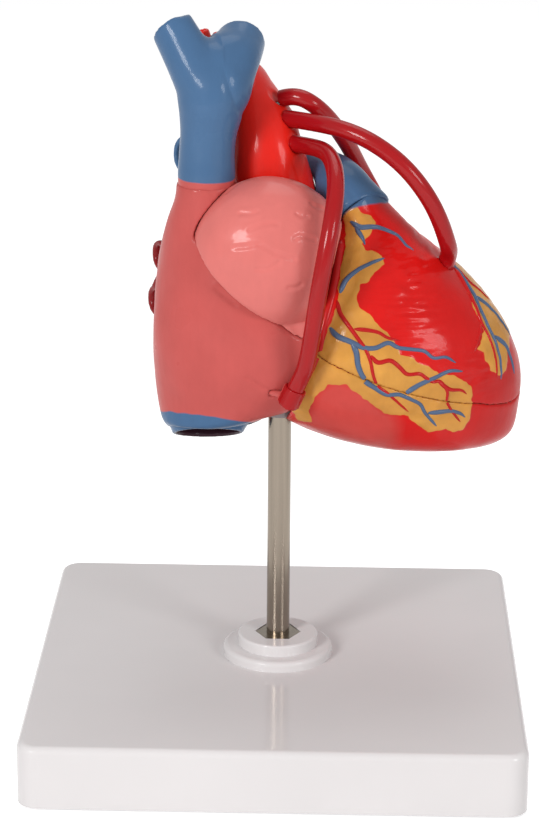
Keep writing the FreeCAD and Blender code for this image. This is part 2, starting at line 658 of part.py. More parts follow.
# the right graft's lower end sits in a cuff that plugs into the right atrium with a dowel
cuff_radius = size("cuff_diameter") / 2
cuff_way = V(0.39, -0.11, 0.91).normalize()
right_foot = skin_point(right_atrium, atrium_point(-0.02, 0.0, 0.285), V(0, -1, 0))
cuff_middle = right_foot + PULL * (1.6 * cuff_radius)
cuff_foot = cuff_middle - cuff_way * (size("cuff_length") / 2)
dowel_depth = 1.2 * atrium_wall
dowel_radius = size("peg_diameter") / 2
right_seat = cuff_foot + cuff_way * (size("cuff_length") / 4 + plug_depth)
sleeve = Part.makeCylinder(cuff_radius, size("cuff_length"), cuff_foot, cuff_way)
sleeve = sleeve.cut(atrium_form(-bond)).cut(ventricle_form(-bond))
dowel = Part.makeCylinder(dowel_radius, 1.6 * cuff_radius + dowel_depth, cuff_middle, PULL * -1)
cuff_bore_radius = graft_radius + size("running_gap")
cuff_bore = Part.makeCylinder(cuff_bore_radius, size("cuff_length"), right_seat - cuff_way * plug_depth, cuff_way)
right_graft_cuff = sleeve.fuse(dowel).cut(cuff_bore)

right_points = graft_points(right_top, PULL, right_seat, cuff_way, RIGHT_STEPS, size("cuff_length"))
front_points = graft_points(front_top, PULL, front_foot, front_end_way, FRONT_STEPS)
side_points = graft_points(side_top, side_top_way, side_foot, side_end_way, SIDE_STEPS)
right_graft = pipe(right_points, graft_radius)
anterior_graft = pipe(front_points, graft_radius)
circumflex_graft = pipe(side_points, graft_radius)
left_auricle = largest(left_auricle.cut(pipe(side_points, graft_radius + bond)))
front_wall = largest(front_wall.cut(plug_space(front_foot, front_end_way, graft_radius, plug_depth)))
rear_wall = largest(rear_wall.cut(plug_space(side_foot, side_end_way, graft_radius, plug_depth)))
right_atrium = largest(right_atrium.cut(plug_space(right_foot, PULL, dowel_radius, dowel_depth)))
for anchor, way in ((right_top, PULL), (front_top, PULL), (side_top, side_top_way)):
    aorta_shape = aorta_shape.cut(plug_space(anchor, way, graft_radius, plug_depth))
aorta_shape = largest(aorta_shape)


# ---------------------------------------------------------------- base plate, collar, rod and fasteners
def plane(body, role):
    """A body's own origin plane."""
    return next(item for item in body.Origin.OriginFeatures if item.Role == role)


def new_body(label):
    """An empty body that becomes one of the model's pieces."""
    body = doc.addObject("PartDesign::Body", label)
    return sub_part(body, label)


def sketch_at(body, name, height="0"):
    """A sketch on a level plane of a body at a height given by an expression."""
    sketch = body.newObject("Sketcher::SketchObject", f"{body.Name}_{name}_sketch")
    sketch.AttachmentSupport = [(plane(body, "XY_Plane"), "")]
    sketch.MapMode = "FlatFace"
    sketch.setExpression(".AttachmentOffset.Base.z", height)
    return sketch


def bind(sketch, constraint, expression):
    """Add a driving constraint whose value comes from the sheet."""
    index = sketch.addConstraint(constraint)
    sketch.setExpression(f"Constraints[{index}]", expression)


def circle(sketch, diameter, x="0 mm", y="0 mm"):
    """A circle of a bound diameter, its centre placed by bound distances from the axes."""
    index = sketch.addGeometry(Part.Circle(V(5, 5, 0), V(0, 0, 1), 2), False)
    if x == "0 mm":
        sketch.addConstraint(Sketcher.Constraint("Coincident", index, 3, -1, 1))
    else:
        bind(sketch, Sketcher.Constraint("DistanceX", -1, 1, index, 3, 5.0), x)
        bind(sketch, Sketcher.Constraint("DistanceY", -1, 1, index, 3, 5.0), y)
    bind(sketch, Sketcher.Constraint("Diameter", index, 4.0), diameter)
    return index


def rectangle(sketch, width, depth):
    """A rectangle centred on the origin with bound sides."""
    corners = [V(-9, -9, 0), V(9, -9, 0), V(9, 9, 0), V(-9, 9, 0)]
    for number in range(4):
        sketch.addGeometry(Part.LineSegment(corners[number], corners[(number + 1) % 4]), False)
    for number in range(4):
        sketch.addConstraint(Sketcher.Constraint("Coincident", number, 2, (number + 1) % 4, 1))
    for number, kind in enumerate(("Horizontal", "Vertical", "Horizontal", "Vertical")):
        sketch.addConstraint(Sketcher.Constraint(kind, number))
    sketch.addConstraint(Sketcher.Constraint("Symmetric", 0, 1, 2, 1, -1, 1))
    bind(sketch, Sketcher.Constraint("DistanceX", 0, 1, 0, 2, 18.0), width)
    bind(sketch, Sketcher.Constraint("DistanceY", 1, 1, 1, 2, 18.0), depth)


def pad(body, sketch, length, downwards=False):
    """Raise a sketch by a bound length."""
    feature_pad = body.newObject("PartDesign::Pad", f"{sketch.Name}_pad")
    feature_pad.Profile = sketch
    feature_pad.Reversed = downwards
    feature_pad.setExpression("Length", length)
    doc.recompute()
    return feature_pad


def pocket(body, sketch, length, upwards=True):
    """Sink a sketch by a bound length, and make sure that it cut something."""
    before = body.Shape.Volume
    feature_pocket = body.newObject("PartDesign::Pocket", f"{sketch.Name}_pocket")
    feature_pocket.Profile = sketch
    feature_pocket.Reversed = upwards
    feature_pocket.setExpression("Length", length)
    doc.recompute()
    if body.Shape.Volume >= before:
        raise RuntimeError(f"{feature_pocket.Name} cut nothing")
    return feature_pocket


def edges_where(shape, test):
    """The names of a shape's edges that pass a test."""
    return [f"Edge{number}" for number, edge in enumerate(shape.Edges, start=1) if test(edge)]


def fillet(body, base, radius, test, kind="PartDesign::Fillet", value="Radius"):
    """Round or chamfer the edges of the last feature that pass a test."""
    doc.recompute()
    rounding = body.newObject(kind, f"{base.Name}_{value.lower()}")
    rounding.Base = (base, edges_where(base.Shape, test))
    rounding.setExpression(value, radius)
    doc.recompute()
    return rounding


def level_at(height):
    """A test for edges that lie level at a height."""
    return lambda edge: abs(edge.BoundBox.ZMin - height) < 0.01 and abs(edge.BoundBox.ZMax - height) < 0.01


def upright(edge):
    """A test for straight upright edges."""
    return abs(edge.BoundBox.ZLength - edge.Length) < 0.01


def base_plate():
    """A white moulded box, open underneath, with a centre post, four ribs and a boss over each foot."""
    body = new_body("base_plate")
    outline = sketch_at(body, "outline", "sizes.foot_height")
    rectangle(outline, "sizes.base_width", "sizes.base_width")
    block = pad(body, outline, "sizes.base_height - sizes.foot_height")
    corners = fillet(body, block, "sizes.base_corner_radius", upright)
    top = size("base_height")
    fillet(body, corners, "sizes.base_edge_radius", level_at(top))
    hollow = sketch_at(body, "hollow", "sizes.foot_height")
    rectangle(hollow, "sizes.base_width - 2 * sizes.base_wall", "sizes.base_width - 2 * sizes.base_wall")
    pocket(body, hollow, "sizes.base_height - sizes.foot_height - sizes.base_wall")
    under_top = "sizes.base_height - sizes.base_wall"
    post = sketch_at(body, "post", under_top)
    circle(post, "sizes.post_diameter")
    pad(body, post, "sizes.rib_depth", downwards=True)
    for name, width, depth in (("long", "sizes.base_width - sizes.base_wall", "sizes.rib_thickness"),
                               ("cross", "sizes.rib_thickness", "sizes.base_width - sizes.base_wall")):
        rib = sketch_at(body, f"{name}_rib", under_top)
        rectangle(rib, width, depth)
        pad(body, rib, "sizes.rib_depth", downwards=True)
    bosses = sketch_at(body, "bosses", under_top)
    inset = "sizes.base_width / 2 - sizes.foot_inset"
    for sign_x, sign_y in ((1, 1), (1, -1), (-1, 1), (-1, -1)):
        index = bosses.addGeometry(Part.Circle(V(80 * sign_x, 80 * sign_y, 0), V(0, 0, 1), 7), False)
        first, second = ((-1, 1), (index, 3))
        x_ends = (*first, *second) if sign_x > 0 else (*second, *first)
        y_ends = (*first, *second) if sign_y > 0 else (*second, *first)
        bind(bosses, Sketcher.Constraint("DistanceX", *x_ends, 80.0), inset)
        bind(bosses, Sketcher.Constraint("DistanceY", *y_ends, 80.0), inset)
        bind(bosses, Sketcher.Constraint("Diameter", index, 14.0), "sizes.foot_diameter")
    pad(body, bosses, "sizes.base_height - sizes.base_wall - sizes.foot_height", downwards=True)
    bore = sketch_at(body, "bore", "sizes.foot_height")
    circle(bore, "sizes.spigot_diameter + 2 * sizes.running_gap")
    pocket(body, bore, "sizes.base_height")
    return body


NUT_SEAT = "sizes.base_height + sizes.collar_height - sizes.collar_nut_thickness - sizes.pocket_gap"
UNDER_WASHER = "sizes.base_height - sizes.base_wall - sizes.rib_depth - sizes.washer_thickness"


def rod_collar():
    """The white collar round the rod's foot: a flared foot, a ring and a six-sided pocket for the nut."""
    body = new_body("rod_collar")
    foot = sketch_at(body, "foot", "sizes.base_height")
    circle(foot, "sizes.collar_foot_diameter")
    foot_pad = pad(body, foot, "sizes.collar_ring_height")
    foot_top = size("base_height") + size("collar_ring_height")
    fillet(body, foot_pad, "sizes.collar_round", level_at(foot_top))
    ring = sketch_at(body, "ring", "sizes.base_height")
    circle(ring, "sizes.collar_top_diameter")
    ring_pad = pad(body, ring, "sizes.collar_height")
    collar_top = size("base_height") + size("collar_height")
    fillet(body, ring_pad, "sizes.collar_round / 2", level_at(collar_top))
    bore = sketch_at(body, "bore", "sizes.base_height")
    circle(bore, "sizes.rod_diameter + 2 * sizes.running_gap")
    pocket(body, bore, "sizes.collar_height")
    seat = body.newObject("PartDesign::SubtractivePrism", "nut_seat")
    seat.AttachmentSupport = [(plane(body, "XY_Plane"), "")]
    seat.MapMode = "FlatFace"
    seat.Polygon = 6
    seat.setExpression("Circumradius", "(sizes.collar_nut_flats / 2 + sizes.pocket_gap) / cos(30)")
    seat.setExpression("Height", "sizes.collar_nut_thickness + sizes.pocket_gap")
    seat.setExpression(".AttachmentOffset.Base.z", NUT_SEAT)
    doc.recompute()
    return body


def nut(label, flats, thickness, bottom, bore):
    """A six-sided nut with chamfered corners and a plain bore."""
    body = new_body(label)
    prism = body.newObject("PartDesign::AdditivePrism", f"{label}_prism")
    prism.AttachmentSupport = [(plane(body, "XY_Plane"), "")]
    prism.MapMode = "FlatFace"
    prism.Polygon = 6
    prism.setExpression("Circumradius", f"{flats} / 2 / cos(30)")
    prism.setExpression("Height", thickness)
    prism.setExpression(".AttachmentOffset.Base.z", bottom)
    doc.recompute()
    hole = sketch_at(body, "hole", bottom)
    circle(hole, bore)
    pocket(body, hole, thickness)
    return body


def support_rod():
    """The bright rod: a spigot through the base plate, a shoulder on it and a chamfered tip in the heart."""
    body = new_body("support_rod")
    shank = sketch_at(body, "shank", "sizes.base_height")
    circle(shank, "sizes.rod_diameter")
    shank_pad = pad(body, shank, f"sizes.heart_clearance + {SOCKET_FOOT_SHARE} * sizes.ventricle_height"
                                 " + sizes.socket_depth - sizes.socket_roof - sizes.running_gap")
    tip = rod_tip - size("running_gap")
    fillet(body, shank_pad, "sizes.rod_chamfer", level_at(tip), "PartDesign::Chamfer", "Size")
    spigot = sketch_at(body, "spigot", "sizes.base_height")
    circle(spigot, "sizes.spigot_diameter")
    pad(body, spigot, "sizes.base_height - sizes.spigot_reach", downwards=True)
    return body


def base_washer():
    """The plain washer under the base plate's post."""
    body = new_body("base_washer")
    disc = sketch_at(body, "disc", "sizes.base_height - sizes.base_wall - sizes.rib_depth")
    circle(disc, "sizes.washer_diameter")
    circle(disc, "sizes.spigot_diameter + 2 * sizes.running_gap")
    pad(body, disc, "sizes.washer_thickness", downwards=True)
    return body


def rubber_feet():
    """Four round feet under the base plate's corner bosses."""
    feet = []
    for name, sign_x, sign_y in (("a", 1, 1), ("b", 1, -1), ("c", -1, 1), ("d", -1, -1)):
        foot = doc.addObject("Part::Cylinder", f"foot_{name}")
        foot.setExpression("Radius", "sizes.foot_diameter / 2")
        foot.setExpression("Height", "sizes.foot_height")
        foot.setExpression(".Placement.Base.x", f"{sign_x} * (sizes.base_width / 2 - sizes.foot_inset)")
        foot.setExpression(".Placement.Base.y", f"{sign_y} * (sizes.base_width / 2 - sizes.foot_inset)")
        feet.append(foot)
    group = doc.addObject("Part::Compound", "rubber_feet")
    group.Links = feet
    return sub_part(group, "rubber_feet")


base_plate()
rod_collar()
nut("collar_nut", "sizes.collar_nut_flats", "sizes.collar_nut_thickness", NUT_SEAT,
    "sizes.rod_diameter + 2 * sizes.running_gap")
base_washer()
nut("base_nut", "sizes.base_nut_flats", "sizes.base_nut_thickness",
    f"{UNDER_WASHER} - sizes.base_nut_thickness", "sizes.spigot_diameter + 2 * sizes.running_gap")
rubber_feet()
support_rod()

# ---------------------------------------------------------------- the heart's pieces
feature("rod_socket", socket_shape)
feature("rear_ventricle_wall", rear_wall)
feature("front_ventricle_wall", front_wall)
feature("right_atrium", right_atrium)
feature("right_auricle", right_auricle)
feature("left_atrium", left_atrium)
feature("left_auricle", left_auricle)
feature("superior_vena_cava", upper_cava_shape)
feature("inferior_vena_cava", lower_cava_shape)
feature("aorta", aorta_shape)
feature("pulmonary_trunk", pulmonary_shape)
feature("right_pulmonary_veins", right_veins)
feature("left_pulmonary_veins", left_veins)
feature("tricuspid_valve", tricuspid_valve)
feature("mitral_valve", mitral_valve)
feature("aortic_valve", aortic_valve)
feature("pulmonary_valve", pulmonary_valve)
feature("right_papillary_muscles", Part.makeCompound(right_muscles))
feature("left_papillary_muscles", Part.makeCompound(left_muscles))
feature("chordae", Part.makeCompound(chordae))
feature("right_graft", right_graft)
feature("right_graft_cuff", right_graft_cuff)
feature("anterior_graft", anterior_graft)
feature("circumflex_graft", circumflex_graft)

# ---------------------------------------------------------------- check and write
doc.recompute()
for obj in doc.Objects:
    if "Invalid" in obj.State or "Error" in obj.State:
        raise RuntimeError(f"{obj.Name} failed: {obj.State}")
os.makedirs("parts", exist_ok=True)
for piece in SUB_PARTS:
    shape = piece.Shape
    if shape.isNull() or not shape.isValid() or not shape.Solids:
        raise RuntimeError(f"{piece.Label} has no valid solid")
    shape.exportStep(os.path.join("parts", f"{piece.Label}.step"))
print(f"{len(SUB_PARTS)} pieces written")
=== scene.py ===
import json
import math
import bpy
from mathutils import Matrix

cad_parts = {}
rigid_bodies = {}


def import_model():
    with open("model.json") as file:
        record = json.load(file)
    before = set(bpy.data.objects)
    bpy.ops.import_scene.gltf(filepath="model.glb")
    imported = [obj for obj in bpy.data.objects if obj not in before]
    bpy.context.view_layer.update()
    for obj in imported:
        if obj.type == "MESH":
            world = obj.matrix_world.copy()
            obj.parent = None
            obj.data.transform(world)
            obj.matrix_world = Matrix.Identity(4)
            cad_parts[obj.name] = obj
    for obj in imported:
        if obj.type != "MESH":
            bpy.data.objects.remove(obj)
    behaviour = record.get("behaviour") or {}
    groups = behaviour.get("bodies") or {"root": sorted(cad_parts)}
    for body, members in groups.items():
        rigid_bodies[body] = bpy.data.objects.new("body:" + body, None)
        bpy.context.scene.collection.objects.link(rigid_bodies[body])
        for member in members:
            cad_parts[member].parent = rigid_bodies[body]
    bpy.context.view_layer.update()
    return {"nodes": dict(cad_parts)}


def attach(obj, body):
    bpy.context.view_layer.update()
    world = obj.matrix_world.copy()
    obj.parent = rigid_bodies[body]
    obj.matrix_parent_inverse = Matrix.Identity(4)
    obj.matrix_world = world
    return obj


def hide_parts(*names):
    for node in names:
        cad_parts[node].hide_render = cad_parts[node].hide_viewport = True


bl_info = {
    "name": "Heart Model on a Stand",
    "version": (1, 0, 0),
    "blender": (4, 5, 0),
    "location": "3D View > Sidebar > Heart Model",
    "description": "Builds a two-part heart model with bypass grafts, on a rod and a base plate",
    "category": "Object",
}

import bpy
import numpy as np
from bpy.props import FloatProperty, FloatVectorProperty, PointerProperty
from mathutils import Matrix, Vector, noise
from mathutils.bvhtree import BVHTree

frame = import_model()

MM = 0.001
MERGE_DISTANCE = 0.00001
BARE = -9.0  # the depth of a place far from a painted area
# rays that find a hollow start this far off the surface and lean this much; 4 of 5 have to hit
RAY_START, RAY_LEAN, RAY_HITS = 0.05, 0.8, 4


def display(red, green, blue):
    """A linear colour from the 0 to 255 values that it has on a screen."""
    shares = [value / 255 for value in (red, green, blue)]
    return tuple(s / 12.92 if s <= 0.04045 else ((s + 0.055) / 1.055) ** 2.4 for s in shares)


# ---- settings
def paint_setting(name, description, *values):
    """A colour that the user may change."""
    default = display(*values)
    return FloatVectorProperty(
        name=name, description=description, subtype="COLOR", size=3, min=0, max=1, default=default
    )


def length_setting(name, description, value):
    """A length that the user may change, given in millimetres."""
    return FloatProperty(
        name=name, description=description, unit="LENGTH", min=0, default=value * MM
    )


def power_setting(name, description, value):
    """A lamp's power that the user may change."""
    return FloatProperty(name=name, description=description, unit="POWER", default=value)


class HeartPaints(bpy.types.PropertyGroup):
    """The colours of the model's paints, plastics and metals."""

    wall_red: paint_setting("Right wall red", "Bright red over the right ventricle", 216, 24, 22)
    wall_dark: paint_setting("Left wall red", "Deeper red over the left ventricle", 198, 28, 26)
    wall_rose: paint_setting("Lower wall rose", "Paler red of the lower wall", 208, 72, 66)
    chamber: paint_setting("Chamber", "Inner side of the ventricle walls", 196, 92, 84)
    cut_muscle: paint_setting("Cut muscle", "Muscle where the front wall lifts off", 176, 62, 54)
    fat: paint_setting("Fat", "Yellow fat in the grooves of the heart", 222, 158, 72)
    atrium: paint_setting("Atrium", "Pink of the right and left atrium", 200, 90, 86)
    auricle: paint_setting("Auricle", "Lighter pink of the auricles", 222, 120, 114)
    atrium_inside: paint_setting("Atrium inside", "Inner side of the atria", 178, 84, 82)
    blue_vessel: paint_setting("Blue vessel", "Venae cavae and pulmonary trunk", 74, 108, 146)
    # dark purple inside the blue vessels: the lumen's paint with painted shade of the hollow ends
    # mixed in
    blue_lumen_shaded: paint_setting("Blue vessel inside", "Lumen of the blue vessels", 64, 36, 48)
    red_vessel: paint_setting("Aorta", "Aorta and its branches", 230, 38, 28)
    # darker red inside the aorta: the lumen's paint with painted shade of the hollow ends mixed in
    red_lumen_shaded: paint_setting("Aorta inside", "Lumen of the red vessels", 150, 38, 36)
    vein_red: paint_setting("Pulmonary vein", "Dark red stubs of the pulmonary veins", 138, 22, 26)
    graft: paint_setting("Graft", "Deep red of the bypass grafts", 168, 14, 20)
    coronary_vein: paint_setting("Coronary vein", "Blue veins on the wall", 84, 104, 134)
    coronary_artery: paint_setting("Coronary artery", "Red arteries on the wall", 190, 28, 28)
    leaflet: paint_setting("Valve leaflet", "Ivory valve leaflets and cords", 226, 206, 170)
    papillary: paint_setting("Papillary muscle", "Muscles that hold the valve cords", 190, 78, 70)
    white_plastic: paint_setting("White plastic", "Base plate and collar", 226, 222, 222)
    steel: paint_setting("Steel", "Rod, nuts and washer", 150, 139, 126)
    rubber: paint_setting("Rubber", "Feet under the base plate", 46, 46, 48)


class HeartSizes(bpy.types.PropertyGroup):
    """The sizes of the model's moulded and painted detail."""

    wall_grain: length_setting("Wall detail", "Spacing of the mesh of the ventricle walls", 0.8)
    fat_lump: length_setting("Fat relief", "Height of the lumps of fat", 0.25)
    fat_rise: length_setting("Fat thickness", "How far the fat stands proud of the wall", 0.25)
    vein_radius: length_setting("Vein radius", "Radius where a coronary vein starts", 1.4)
    artery_radius: length_setting("Artery radius", "Radius where a coronary artery starts", 1.1)
    vessel_sink: length_setting("Vessel sink", "How deep the vessels sit in the wall", 0.45)


class StageSettings(bpy.types.PropertyGroup):
    """The lamps and the background."""

    key_power: power_setting("Key lamp", "Power of the large lamp", 17.0)
    fill_power: power_setting("Fill lamp", "Power of the side lamp", 9.0)
    sky_strength: FloatProperty(
        name="Sky", description="Strength of the even light", min=0, default=0.36
    )


# ---- selection and meshes
def select_only(*objects):
    """Selects these objects and nothing else, and makes the first one active."""
    bpy.ops.object.select_all(action="DESELECT")
    for item in objects:
        item.select_set(True)
    bpy.context.view_layer.objects.active = objects[0]


def start_piece():
    """Deselects everything, so that a new primitive is alone."""
    bpy.ops.object.select_all(action="DESELECT")


def apply_modifier(piece, kind, **values):
    """Adds one modifier with its settings and applies it."""
    select_only(piece)
    modifier = piece.modifiers.new(kind.title(), kind)
    for name, value in values.items():
        setattr(modifier, name, value)
    bpy.ops.object.modifier_apply(modifier=modifier.name)


def copy_of_node(node, name):
    """A copy of a CAD node at the origin, with its loose triangles merged and no material."""
    select_only(frame["nodes"][node])
    bpy.ops.object.duplicate()
    piece = bpy.context.active_object
    bpy.ops.object.parent_clear(type="CLEAR_KEEP_TRANSFORM")
    bpy.ops.object.transform_apply(location=True, rotation=True, scale=True)
    piece.name = name
    piece.data.name = name
    piece.data.materials.clear()
    bpy.ops.object.mode_set(mode="EDIT")
    bpy.ops.mesh.select_all(action="SELECT")
    bpy.ops.mesh.remove_doubles(threshold=MERGE_DISTANCE)
    bpy.ops.object.mode_set(mode="OBJECT")
    return piece


def moulded_copy(node, name, grain, smoothing, reshape=None):
    """A node's copy, reshaped if asked, with an even mesh and a casting's soft edges."""
    piece = copy_of_node(node, name)
    if reshape is not None:
        apply_modifier(piece, "REMESH", mode="VOXEL", voxel_size=grain, use_smooth_shade=True)
        move_vertices(piece, reshape(places_of(piece)))
    apply_modifier(piece, "REMESH", mode="VOXEL", voxel_size=grain, use_smooth_shade=True)
    apply_modifier(piece, "SMOOTH", factor=0.5, iterations=smoothing)
    return piece


def finish_piece(piece, material, body, slot, *nodes):
    """Gives a piece its material and body, and hides the CAD nodes that it stands for; the slot is
    not used.
    """
    piece.data.materials.clear()
    piece.data.materials.append(material)
    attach(piece, body)
    if nodes:
        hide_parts(*nodes)


def keep_nodes(material, *nodes):
    """Gives carried-over CAD nodes a better material."""
    for node in nodes:
        slots = frame["nodes"][node].data.materials
        slots.clear()
        slots.append(material)


def places_of(piece):
    """A piece's vertices in millimetres."""
    flat = np.empty(len(piece.data.vertices) * 3)
    piece.data.vertices.foreach_get("co", flat)
    return flat.reshape(-1, 3) / MM


def normals_of(piece):
    """A piece's vertex normals."""
    flat = np.empty(len(piece.data.vertices) * 3)
    piece.data.vertex_normals.foreach_get("vector", flat)
    return flat.reshape(-1, 3)


def move_vertices(piece, places):
    """Puts a piece's vertices at these places, in millimetres."""
    piece.data.vertices.foreach_set("co", (places * MM).ravel())
    piece.data.update()


def store(piece, **areas):
    """Keeps one number per vertex for each painted area, for the material to read."""
    for name, values in areas.items():
        layer = piece.data.attributes.new(name, "FLOAT", "POINT")
        layer.data.foreach_set("value", np.ascontiguousarray(values, dtype=np.float32))


def surface_tree(*pieces):
    """A search tree over the faces of these pieces, in millimetres."""
    corners, faces = [], []
    for piece in pieces:
        first = len(corners)
        corners.extend(Vector(place) for place in places_of(piece))
        faces.extend([first + index for index in face.vertices] for face in piece.data.polygons)
    return BVHTree.FromPolygons(corners, faces)


def lumps(places, spacing, seed=0.0, height=1.0):
    """Smooth noise at each place, with hills about this far apart and this high."""
    shift = Vector((seed, seed * 0.7, seed * 1.3))
    hills = [noise.noise(Vector(place) / spacing + shift) for place in places]
    return np.array(hills) * height


def line_feet(points, line):
    """The nearest place to each point on a line of straight runs, and how far away it is."""
    nearest = np.full(len(points), np.inf)
    feet = np.zeros_like(points)
    line = np.array(line, dtype=float)
    for start, end in zip(line[:-1], line[1:]):
        run = end - start
        share = np.clip((points - start) @ run / (run @ run), 0, 1)
        places = start + share[:, None] * run
        away = np.linalg.norm(points - places, axis=1)
        feet[away < nearest] = places[away < nearest]
        nearest = np.minimum(nearest, away)
    return feet, nearest


def line_distance(points, line):
    """Distance from each point to a line of straight runs."""
    return line_feet(points, line)[1]


def hill(values, middle, spread):
    """A smooth hill from 0 to 1 round a middle value."""
    return np.exp(-(((values - middle) / spread) ** 2))


def rise(values, low, high):
    """A smooth step from 0 to 1 between two values."""
    share = np.clip((values - low) / (high - low), 0, 1)
    return share * share * (3 - 2 * share)


def outline_depth(points, outline):
    """How far each flat point is inside a closed outline, and below zero outside it."""
    closed = np.array([*outline, outline[0]], dtype=float)
    across, up = points.T
    inside = np.zeros(len(points), bool)
    for (x0, z0), (x1, z1) in zip(closed[:-1], closed[1:]):
        if z0 == z1:
            continue
        crosses = (z0 > up) != (z1 > up)
        inside ^= crosses & (across < (x1 - x0) * (up - z0) / (z1 - z0) + x0)
    depth = line_distance(points, closed)
    return np.where(inside, depth, -depth)


def enclosed(places, normals, tree, reach):
    """1 for each vertex that looks into a hollow and 0 for one on the outside."""
    result = np.zeros(len(places))
    for index, (place, normal) in enumerate(zip(places, normals)):
        way = Vector(normal)
        origin = Vector(place) + way * RAY_START
        if tree.ray_cast(origin, way, reach)[0] is None:
            continue
        side = way.orthogonal().normalized()
        other = way.cross(side)
        hits = 1
        for lean in (side, -side, other, -other):
            leaning = (way + lean * RAY_LEAN).normalized()
            hits += tree.ray_cast(origin, leaning, reach)[0] is not None
        result[index] = hits >= RAY_HITS
    return result


# ---- shader node groups and materials
COLOUR, VALUE = "NodeSocketColor", "NodeSocketFloat"
MIX_SOCKETS, MIX_RESULT = (0, 6, 7), 2  # a colour mix's factor and its two colours
MIDRANGE = (0.3, 0.7)  # where most of a noise's values lie
HOLLOW_EDGE, PATCH_EDGE = (0.35, 0.65), (-0.3, 0.3)  # how softly their colours fade in
PAINT_SPECULAR = 0.08


class Finish:
    """A node tree being built, with short calls to add and join nodes."""

    def __init__(self, tree):
        self.tree = tree

    def add(self, kind, **values):
        """Adds one node, with its settings."""
        node = self.tree.nodes.new(kind)
        for name, value in values.items():
            setattr(node, name, value)
        return node

    def link(self, output, socket):
        """Joins an output to an input."""
        self.tree.links.new(output, socket)

    def give(self, value, socket):
        """Joins an output to an input, or sets the input to a plain number or colour."""
        if isinstance(value, bpy.types.NodeSocket):
            self.link(value, socket)
        else:
            socket.default_value = value if isinstance(value, (int, float)) else (*value, 1)

    def place(self):
        """The object's own coordinates."""
        return self.add("ShaderNodeTexCoord").outputs["Object"]

    def noise(self, coordinates, scale, detail, stretch=None):
        """Noise on the object's own coordinates, stretched if asked."""
        if stretch is not None:
            mapping = self.add("ShaderNodeMapping")
            mapping.inputs["Scale"].default_value = stretch
            self.link(coordinates, mapping.inputs["Vector"])
            coordinates = mapping.outputs["Vector"]
        node = self.add("ShaderNodeTexNoise")
        node.inputs["Scale"].default_value = scale
        node.inputs["Detail"].default_value = detail
        self.link(coordinates, node.inputs["Vector"])
        return node.outputs["Fac"]

    def ramp(self, value, low, high, low_to=0.0, high_to=1.0):
        """Maps a value from one range to another, clamped."""
        node = self.add("ShaderNodeMapRange")
        limits = {"From Min": low, "From Max": high, "To Min": low_to, "To Max": high_to}
        for name, limit in limits.items():
            node.inputs[name].default_value = limit
        self.link(value, node.inputs["Value"])
        return node.outputs["Result"]

    def mask(self, name, low, high):
        """A painted area with a soft edge, from a number kept at each vertex."""
        kept = self.add("ShaderNodeAttribute", attribute_name=name)
        return self.ramp(kept.outputs["Fac"], low, high)

    def blend(self, mask, first, second, kind="MIX"):
        """Mixes two colours, each a socket or a plain colour, by a mask."""
        node = self.add("ShaderNodeMix", data_type="RGBA", blend_type=kind)
        for value, socket in zip((mask, first, second), MIX_SOCKETS):
            self.give(value, node.inputs[socket])
        return node.outputs[MIX_RESULT]

    def sum_of(self, first, second, operation="ADD"):
        """Adds, or otherwise joins, two values, the second of which may be a plain number."""
        node = self.add("ShaderNodeMath", operation=operation)
        self.give(first, node.inputs[0])
        self.give(second, node.inputs[1])
        return node.outputs[0]


def new_group(name, inputs):
    """A node group with these inputs that gives a colour, a gloss and a height."""
    group = bpy.data.node_groups.new(name, "ShaderNodeTree")
    for label, kind, value in inputs:
        socket = group.interface.new_socket(name=label, in_out="INPUT", socket_type=kind)
        socket.default_value = value
    for label, kind in (("Colour", COLOUR), ("Gloss", VALUE), ("Height", VALUE)):
        group.interface.new_socket(name=label, in_out="OUTPUT", socket_type=kind)
    tree = Finish(group)
    return group, tree, tree.add("NodeGroupInput").outputs, tree.add("NodeGroupOutput").inputs


def hand_paint_group(name):
    """Hand-brushed paint: broad mottling, faint strokes and a fine relief."""
    inputs = [
        ("Colour", COLOUR, (0.8, 0.1, 0.1, 1)),
        ("Shade", COLOUR, (0.5, 0.05, 0.05, 1)),
        ("Amount", VALUE, 0.5),
    ]
    group, tree, given, made = new_group(name, inputs)
    place = tree.place()
    broad = tree.noise(place, 55, 3)
    stroke = tree.noise(place, 260, 2, (1, 1, 0.28))
    fine = tree.noise(place, 900, 2)
    mottling = tree.sum_of(tree.ramp(broad, 0.36, 0.68), tree.ramp(stroke, 0.35, 0.7, 0, 0.35))
    mask = tree.sum_of(mottling, given["Amount"], "MULTIPLY")
    tree.link(tree.blend(mask, given["Colour"], given["Shade"]), made["Colour"])
    tree.link(tree.ramp(broad, *MIDRANGE, 0.26, 0.42), made["Gloss"])
    height = tree.sum_of(tree.ramp(fine, *MIDRANGE, 0, 0.25), tree.ramp(stroke, *MIDRANGE))
    tree.link(height, made["Height"])
    return group


def moulded_grain_group(name):
    """Moulded plastic: a faint waviness and cloudiness."""
    inputs = [("Colour", COLOUR, (0.8, 0.8, 0.8, 1)), ("Shade", COLOUR, (0.7, 0.7, 0.7, 1))]
    group, tree, given, made = new_group(name, inputs)
    place = tree.place()
    cloud = tree.ramp(tree.noise(place, 18, 2), *MIDRANGE)
    wave = tree.noise(place, 140, 1)
    tree.link(tree.blend(cloud, given["Colour"], given["Shade"]), made["Colour"])
    tree.link(tree.ramp(wave, *MIDRANGE, 0.12, 0.2), made["Gloss"])
    tree.link(wave, made["Height"])
    return group


def node_group(name):
    """A node group by name, built the first time it is asked for."""
    makers = {"Hand paint": hand_paint_group, "Moulded grain": moulded_grain_group}
    return bpy.data.node_groups.get(name) or makers[name](name)


def new_finish(name):
    """An empty material with its tree and its surface shader."""
    material = bpy.data.materials.new(name)
    material.use_nodes = True
    return material, Finish(material.node_tree), material.node_tree.nodes["Principled BSDF"]


def shade_of(colour, share):
    """A darker or lighter version of a colour."""
    return tuple(min(1.0, value * share) for value in colour)


